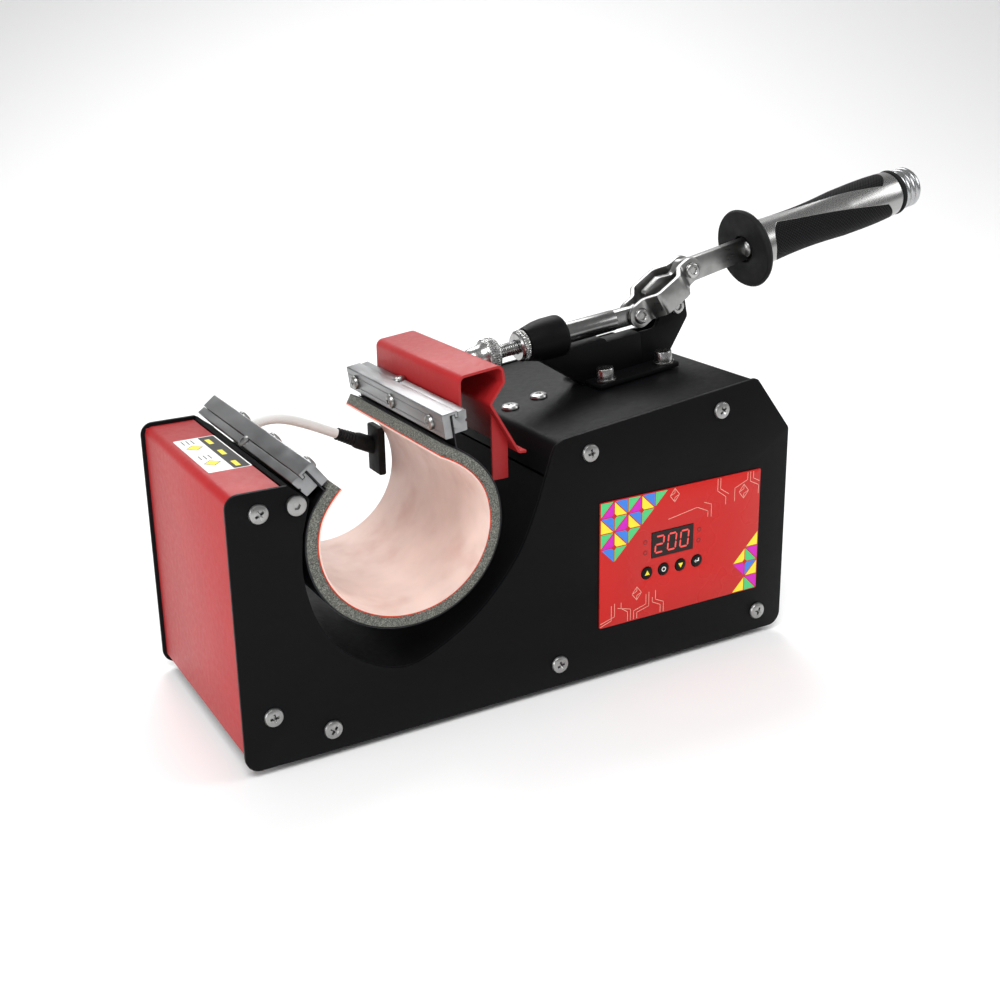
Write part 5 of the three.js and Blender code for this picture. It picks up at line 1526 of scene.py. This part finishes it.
class PRESS_OT_controls(Builder):
    """Printed control panel, display, keys and label"""
    bl_idname = "press.controls"
    bl_label = "Controls"

    def build(self, sizes):
        self.film()
        self.pattern()
        self.display()
        self.keys()
        self.label()

    @staticmethod
    def film():
        holes = [circle(x, BUTTON_Z, BUTTON_R + GAP) for x in BUTTONS.values()]
        window = rectangle((DISPLAY_X[0] - GAP, DISPLAY_X[1] + GAP), (DISPLAY_Z[0] - GAP, DISPLAY_Z[1] + GAP))
        shape = bmesh.new()
        add_prism(shape, rectangle(PANEL_X, PANEL_Z, 0.8), -0.8, -0.05, [*holes, window])
        piece = make("control_panel_film", shape, [finish("film")], edge=0.08)
        stand_for(piece, "housing", "panel", "control_panel")

    def pattern(self):
        shape = bmesh.new()
        y = -0.83
        self.mosaic(shape, y)
        lines = len(MOSAIC_INKS)
        for run in self.circuits():
            add_line(shape, run, 0.32, y - 0.01, lines)
        for x, z in ((239.1, 73.6), (239.2, 67.3), (276.6, 73.8), (276.3, 67.2)):
            add_patch(shape, circle(x, z, 1.35, 20), y - 0.01, lines + 1)
            add_patch(shape, circle(x, z, 0.95, 20), y - 0.02, lines + 2)
        looks = [finish(name) for name in (*MOSAIC_INKS, "ink_line", "ink_black", "film")]
        piece = make("panel_print", shape, looks)
        stand_for(piece, "housing", "panel")

    @staticmethod
    def mosaic(shape, y):
        """Diamonds of four inks round small red ones, in two corners of the film."""
        tile, gap, (x0, x1), (z0, z1) = 9.1, 0.3, PANEL_X, PANEL_Z
        left = [(x0 + 0.2 + tile * i, z1 - 0.2 - tile * j) for i, j in
                ((0, 0), (2, 0), (4, 0), (1, 1), (3, 1), (0, 2), (2, 2), (1, 3))]
        right = [(x1 - 0.2 - tile * i, z0 + 0.2 + tile * j) for i, j in ((0, 3), (1, 2), (0, 1), (1, 0))]
        quarters = ((-1, 1), (1, 1), (-1, -1), (1, -1))
        for (x, z), order in [(at, (1, 2, 3, 0)) for at in left] + [(at, (2, 0, 1, 3)) for at in right]:
            for (across, up), ink in zip(quarters, order):
                part = [(x + across * a, z + up * b) for a, b in
                        ((gap, gap), (tile - 2.4 * gap, gap), (gap, tile - 2.4 * gap))]
                if all(x0 < px < x1 and z0 < pz < z1 for px, pz in part):
                    add_patch(shape, part, y, ink)
            if x0 + 2 < x < x1 - 2 and z0 + 2 < z < z1 - 2:
                add_patch(shape, circle(x, z, 1.9, 4), y - 0.01, len(MOSAIC_INKS) + 2)

    @staticmethod
    def circuits():
        x0, x1, z0, z1 = PANEL_X[0], PANEL_X[1], PANEL_Z[0], PANEL_Z[1]
        runs = [
            [(x0 + 0.5, z0 + 2.6), (x0 + 10, z0 + 5.2), (x0 + 10, z0 + 13)],
            [(x0 + 0.5, z0 + 0.9), (x0 + 7.8, z0 + 3.2), (x0 + 7.8, z0 + 12)],
            [(x0 + 18.8, z0 + 0.8), (x0 + 18.8, z0 + 6.2), (x0 + 14.4, z0 + 9.2), (x0 + 14.4, z0 + 12.6)],
            [(x0 + 20.8, z0 + 0.8), (x0 + 20.8, z0 + 7.4), (x0 + 12.2, z0 + 9.8)],
            [(x0 + 23, z0 + 0.8), (x0 + 23, z0 + 5.8), (x0 + 31.4, z0 + 8), (x0 + 31.4, z0 + 14)],
            [(x0 + 25.2, z0 + 0.8), (x0 + 25.2, z0 + 4.4), (x0 + 33.4, z0 + 6.4), (x0 + 33.4, z0 + 14.8)],
            [(x0 + 43.6, z0 + 0.8), (x0 + 43.6, z0 + 6.8), (x0 + 38, z0 + 9.4), (x0 + 38, z0 + 14.8)],
            [(x0 + 41.4, z0 + 0.8), (x0 + 41.4, z0 + 5.4), (x0 + 35.8, z0 + 8.2), (x0 + 35.8, z0 + 11)],
            [(x1 - 31, z1 - 0.8), (x1 - 31, z1 - 8), (x1 - 25, z1 - 12.4), (x1 - 25, z1 - 17)],
            [(x1 - 29, z1 - 0.8), (x1 - 29, z1 - 7), (x1 - 23, z1 - 11)],
            [(x1 - 9.4, z1 - 0.8), (x1 - 9.4, z1 - 5), (x1 - 18.6, z1 - 8.6), (x1 - 18.6, z1 - 16.4)],
            [(x1 - 7.4, z1 - 0.8), (x1 - 7.4, z1 - 6.4), (x1 - 1.2, z1 - 9.6), (x1 - 1.2, z1 - 14.6)],
            [(x1 - 5.2, z1 - 0.8), (x1 - 5.2, z1 - 4.8), (x1 - 0.8, z1 - 7.2)],
            [(x0 + 46, z1 - 18.2), (x0 + 66, z1 - 15), (x0 + 73.6, z1 - 18.6), (x0 + 73.6, z1 - 22)],
            [(x0 + 71, z1 - 13), (x0 + 76, z1 - 15), (x0 + 76, z1 - 22.4)],
        ]
        for x, z, r in ((x0 + 25, z0 + 16, 4), (x1 - 12, z1 - 11.6, 4.3), (x0 + 50, z1 - 4.6, 4)):
            top, right, bottom, left = (x, z + r), (x + r * 0.8, z), (x, z - r), (x - r * 0.8, z)
            runs += [[top, right, bottom, left, top], [top, (x, z + r / 3), left], [bottom, (x, z - r / 3), right]]
        return runs

    @staticmethod
    def display():
        repaint("display_window", "display_glass")
        shape = bmesh.new()
        tall, wide, bar, lean = 9.6, 5.4, 1.05, 0.09
        left = (DISPLAY_X[0] + DISPLAY_X[1]) / 2 - 12.2
        low = (DISPLAY_Z[0] + DISPLAY_Z[1]) / 2 - tall / 2
        ends = {"a": ((0, 2), (1, 2)), "b": ((1, 2), (1, 1)), "c": ((1, 1), (1, 0)), "d": ((0, 0), (1, 0)),
                "e": ((0, 1), (0, 0)), "f": ((0, 2), (0, 1)), "g": ((0, 1), (1, 1))}
        for i, digit in enumerate("200"):
            for segment in SEGMENTS[digit]:
                (a0, b0), (a1, b1) = ends[segment]
                start = Vector((left + i * 8.6 + a0 * wide + lean * b0 * tall / 2, low + b0 * tall / 2))
                stop = Vector((left + i * 8.6 + a1 * wide + lean * b1 * tall / 2, low + b1 * tall / 2))
                along = (stop - start).normalized()
                side = Vector((-along.y, along.x)) * bar / 2
                start, stop = start + along * 0.25, stop - along * 0.25
                add_patch(shape, [start, start + along * bar / 2 + side, stop - along * bar / 2 + side, stop,
                                  stop - along * bar / 2 - side, start + along * bar / 2 - side], -1.03, 0)
        stand_for(make("display_digits", shape, [finish("digits")]), "housing", "panel")

    @staticmethod
    def keys():
        marks = {"up": [[(-1.7, -1.2), (1.7, -1.2), (0, 1.7)]], "down": [[(-1.7, 1.2), (1.7, 1.2), (0, -1.7)]],
                 "ok": [circle(0, 0, 1.5, 24)], "enter": [[(-1.9, -0.35), (1.4, -0.35), (1.4, 0.35), (-1.9, 0.35)],
                                                          [(0.7, 0.3), (1.4, 0.3), (1.4, 1.7), (0.7, 1.7)],
                                                          [(-1.9, 0), (-0.7, -1.2), (-0.7, 1.2)]]}
        for key, x in BUTTONS.items():
            shape = bmesh.new()
            r = BUTTON_R
            add_lathe(shape, [(0, 5.75), (r - 0.3, 5.75), (r, 0.5), (r, -0.85), (r - 0.12, -1.12), (r - 0.45, -1.24),
                              (0, -1.26)], (x, 0, BUTTON_Z), (0, 1, 0), 40)
            for patch in marks[key]:
                add_patch(shape, [(x + a, BUTTON_Z + b) for a, b in patch], -1.275, 1)
            if key == "ok":
                add_patch(shape, circle(x, BUTTON_Z, 0.95, 24), -1.285, 0)
            mark = "ink_yellow" if key in ("up", "down") else "ink_white"
            piece = make(f"key_{key}", shape, [finish("key_plastic"), finish(mark)], degrees=40)
            stand_for(piece, f"button_{key}", "black_plastic", f"button_{key}")

    @staticmethod
    def label():
        """A caution label on the end cover, half white and half black, with warning diamonds."""
        shape = bmesh.new()
        z = LOBE_HEIGHT - COVER_INSET + 0.06
        upright = Matrix(((1, 0, 0, 0), (0, 0, 1, 0), (0, -1, 0, z), (0, 0, 0, 1)))

        def patch(points, lift, index):
            face = shape.faces.new([shape.verts.new(upright @ Vector((x, -lift, y))) for x, y in points])
            face.normal_update()
            if face.normal.z < 0:
                face.normal_flip()
            face.material_index = index

        x0, x1, y0, y1 = 7.4, 30.2, 44.5, 105.4
        patch([tuple(p) for p in rectangle((x0, x1), (y0, y1), 1.2)], 0, 0)
        patch([tuple(p) for p in rectangle((x0 + 13.4, x1 - 0.8), (y0 + 0.8, y1 - 0.8), 0.8)], 0.02, 1)
        for y in (y0 + 4, y0 + 25, y0 + 46):
            patch([(x0 + 15.5, y), (x0 + 15.5, y + 9), (x0 + 18.2, y + 9), (x0 + 18.2, y)], 0.04, 2)
        for y in (y0 + 15, y0 + 44):
            patch(circle(x0 + 6.8, y, 4.6, 4), 0.03, 1)
            patch(circle(x0 + 6.8, y, 4, 4), 0.04, 2)
        for y in (y0 + 26, y0 + 55):
            for i in range(3):
                patch([(x0 + 3.4 + 2.6 * i, y - 4), (x0 + 3.4 + 2.6 * i, y + 3), (x0 + 4 + 2.6 * i, y + 3),
                       (x0 + 4 + 2.6 * i, y - 4)], 0.03, 1)
        piece = make("caution_label", shape, [finish("ink_white"), finish("ink_black"), finish("ink_yellow")])
        stand_for(piece, "housing", "panel")


# ---- mains side and inside ------------------------------------------------------------------
class PRESS_OT_mains(Builder):
    """Mains inlet, switch, fuse holder and what is inside the housing"""
    bl_idname = "press.mains"
    bl_label = "Mains side"

    def build(self, sizes):
        for name, part, wall, deep in (("power_inlet", INLET, 2, 17), ("switch_frame", SWITCH, 2.5, 11)):
            self.socket(name, part, wall, deep)
        self.fuse()
        self.rocker()
        repaint("controller_board", "board_green")
        repaint("solid_state_relay", "black_plastic")

    @staticmethod
    def socket(name, part, wall, deep):
        (y0, y1), (z0, z1) = part["y"], part["z"]
        sideways = Matrix(((0, 1, 0, 0), (1, 0, 0, 0), (0, 0, 1, 0), (0, 0, 0, 1)))
        margin = 3 if name == "power_inlet" else 2
        hole = rectangle((y0 + wall, y1 - wall), (z0 + 2.5, z1 - 2.5), 1.5)
        shape = bmesh.new()
        add_prism(shape, rectangle((y0 - margin, y1 + margin), (z0 - margin, z1 + margin), 2.5), WALL_X + GAP,
                  WALL_X + 2.4, [hole], turn=sideways)
        add_prism(shape, rectangle((y0, y1), (z0, z1), 2), WALL_X - deep, WALL_X + 0.5, [hole], turn=sideways)
        add_prism(shape, rectangle((y0, y1), (z0, z1), 2), WALL_X - deep - 2, WALL_X - deep, turn=sideways)
        looks = [finish("black_plastic")]
        if name == "power_inlet":
            looks.append(finish("brass"))
            middle = ((y0 + y1) / 2, (z0 + z1) / 2)
            for dy, dz in ((-7, -2), (0, 3), (7, -2)):
                add_block(shape, (WALL_X - deep - 1, WALL_X - 8), (middle[0] + dy - 1, middle[0] + dy + 1),
                          (middle[1] + dz - 2, middle[1] + dz + 2), finish=1)
        piece = make(f"{name}_moulded", shape, looks, edge=0.3)
        stand_for(piece, "housing", "black_plastic", name)

    @staticmethod
    def fuse():
        r = FUSE_R
        shape = bmesh.new()
        add_lathe(shape, [(0, -16), (r - 1, -16), (r, -14), (r, GAP), (r + 1.6, GAP), (r + 2, GAP + 0.4), (r + 2, 1.6),
                          (r + 1.5, 2.1), (r - 0.9, 3), (r - 1.3, 6.4), (r - 1.9, 7), (1.9, 7), (1.7, 6.2), (0, 6.2)],
                  (WALL_X, *FUSE_AT), (1, 0, 0), 40)
        piece = make("fuse_holder_moulded", shape, [finish("black_plastic")], degrees=40)
        stand_for(piece, "housing", "black_plastic", "fuse_holder")

    @staticmethod
    def rocker():
        half = (SWITCH["z"][1] - SWITCH["z"][0]) / 2 - 2.5 - 2 * GAP
        outline = corners([(-5, -half + 3, 1), (-1, -half, 0.6), (3.4, -half, 0.6), (1.6, 0, 6), (3.4, half, 0.6),
                           (-1, half, 0.6), (-5, half - 3, 1)], 6)
        y = (SWITCH["y"][0] + 2.8, SWITCH["y"][1] - 2.8)
        shape = bmesh.new()
        add_prism(shape, outline, *y)
        add_prism(shape, rectangle((2.2, 2.95), (half - 6.4, half - 5.4)), y[0] + 5.2, y[1] - 5.2, finish=1)
        where = PLATE_FRAME @ Matrix.Translation((WALL_X + 1, 0, (SWITCH["z"][0] + SWITCH["z"][1]) / 2)) \
            @ Matrix.Rotation(math.radians(9), 4, "Y")
        piece = make("rocker_moulded", shape, [finish("key_plastic"), finish("ink_white")], where, edge=0.25)
        stand_for(piece, "rocker", "black_plastic", "rocker")


OPERATORS = (PRESS_OT_stage, PRESS_OT_lead, PRESS_OT_housing, PRESS_OT_screws, PRESS_OT_heater, PRESS_OT_rails,
             PRESS_OT_bracket, PRESS_OT_clamp, PRESS_OT_adjuster, PRESS_OT_links, PRESS_OT_grip, PRESS_OT_controls,
             PRESS_OT_mains)


class PRESS_PT_build(bpy.types.Panel):
    """Lists the press's builders with their sizes and colours"""
    bl_idname = "PRESS_PT_build"
    bl_label = "Mug heat press"
    bl_space_type = "VIEW_3D"
    bl_region_type = "UI"
    bl_category = "Heat press"

    def draw(self, context):
        column = self.layout.column(align=True)
        for group in (context.scene.press_sizes, context.scene.press_colours):
            for key in group.bl_rna.properties.keys():
                if key not in {"rna_type", "name"}:
                    column.prop(group, key)
        for operator in OPERATORS:
            column.operator(operator.bl_idname)


CLASSES = (PressSizes, PressColours, *OPERATORS, PRESS_PT_build)


def register():
    for item in CLASSES:
        bpy.utils.register_class(item)
    bpy.types.Scene.press_sizes = PointerProperty(type=PressSizes)
    bpy.types.Scene.press_colours = PointerProperty(type=PressColours)


def unregister():
    del bpy.types.Scene.press_colours
    del bpy.types.Scene.press_sizes
    for item in reversed(CLASSES):
        bpy.utils.unregister_class(item)


def main():
    register()
    for operator in OPERATORS:
        group, name = operator.bl_idname.split(".")
        getattr(getattr(bpy.ops, group), name)()


if __name__ == "__main__":
    main()
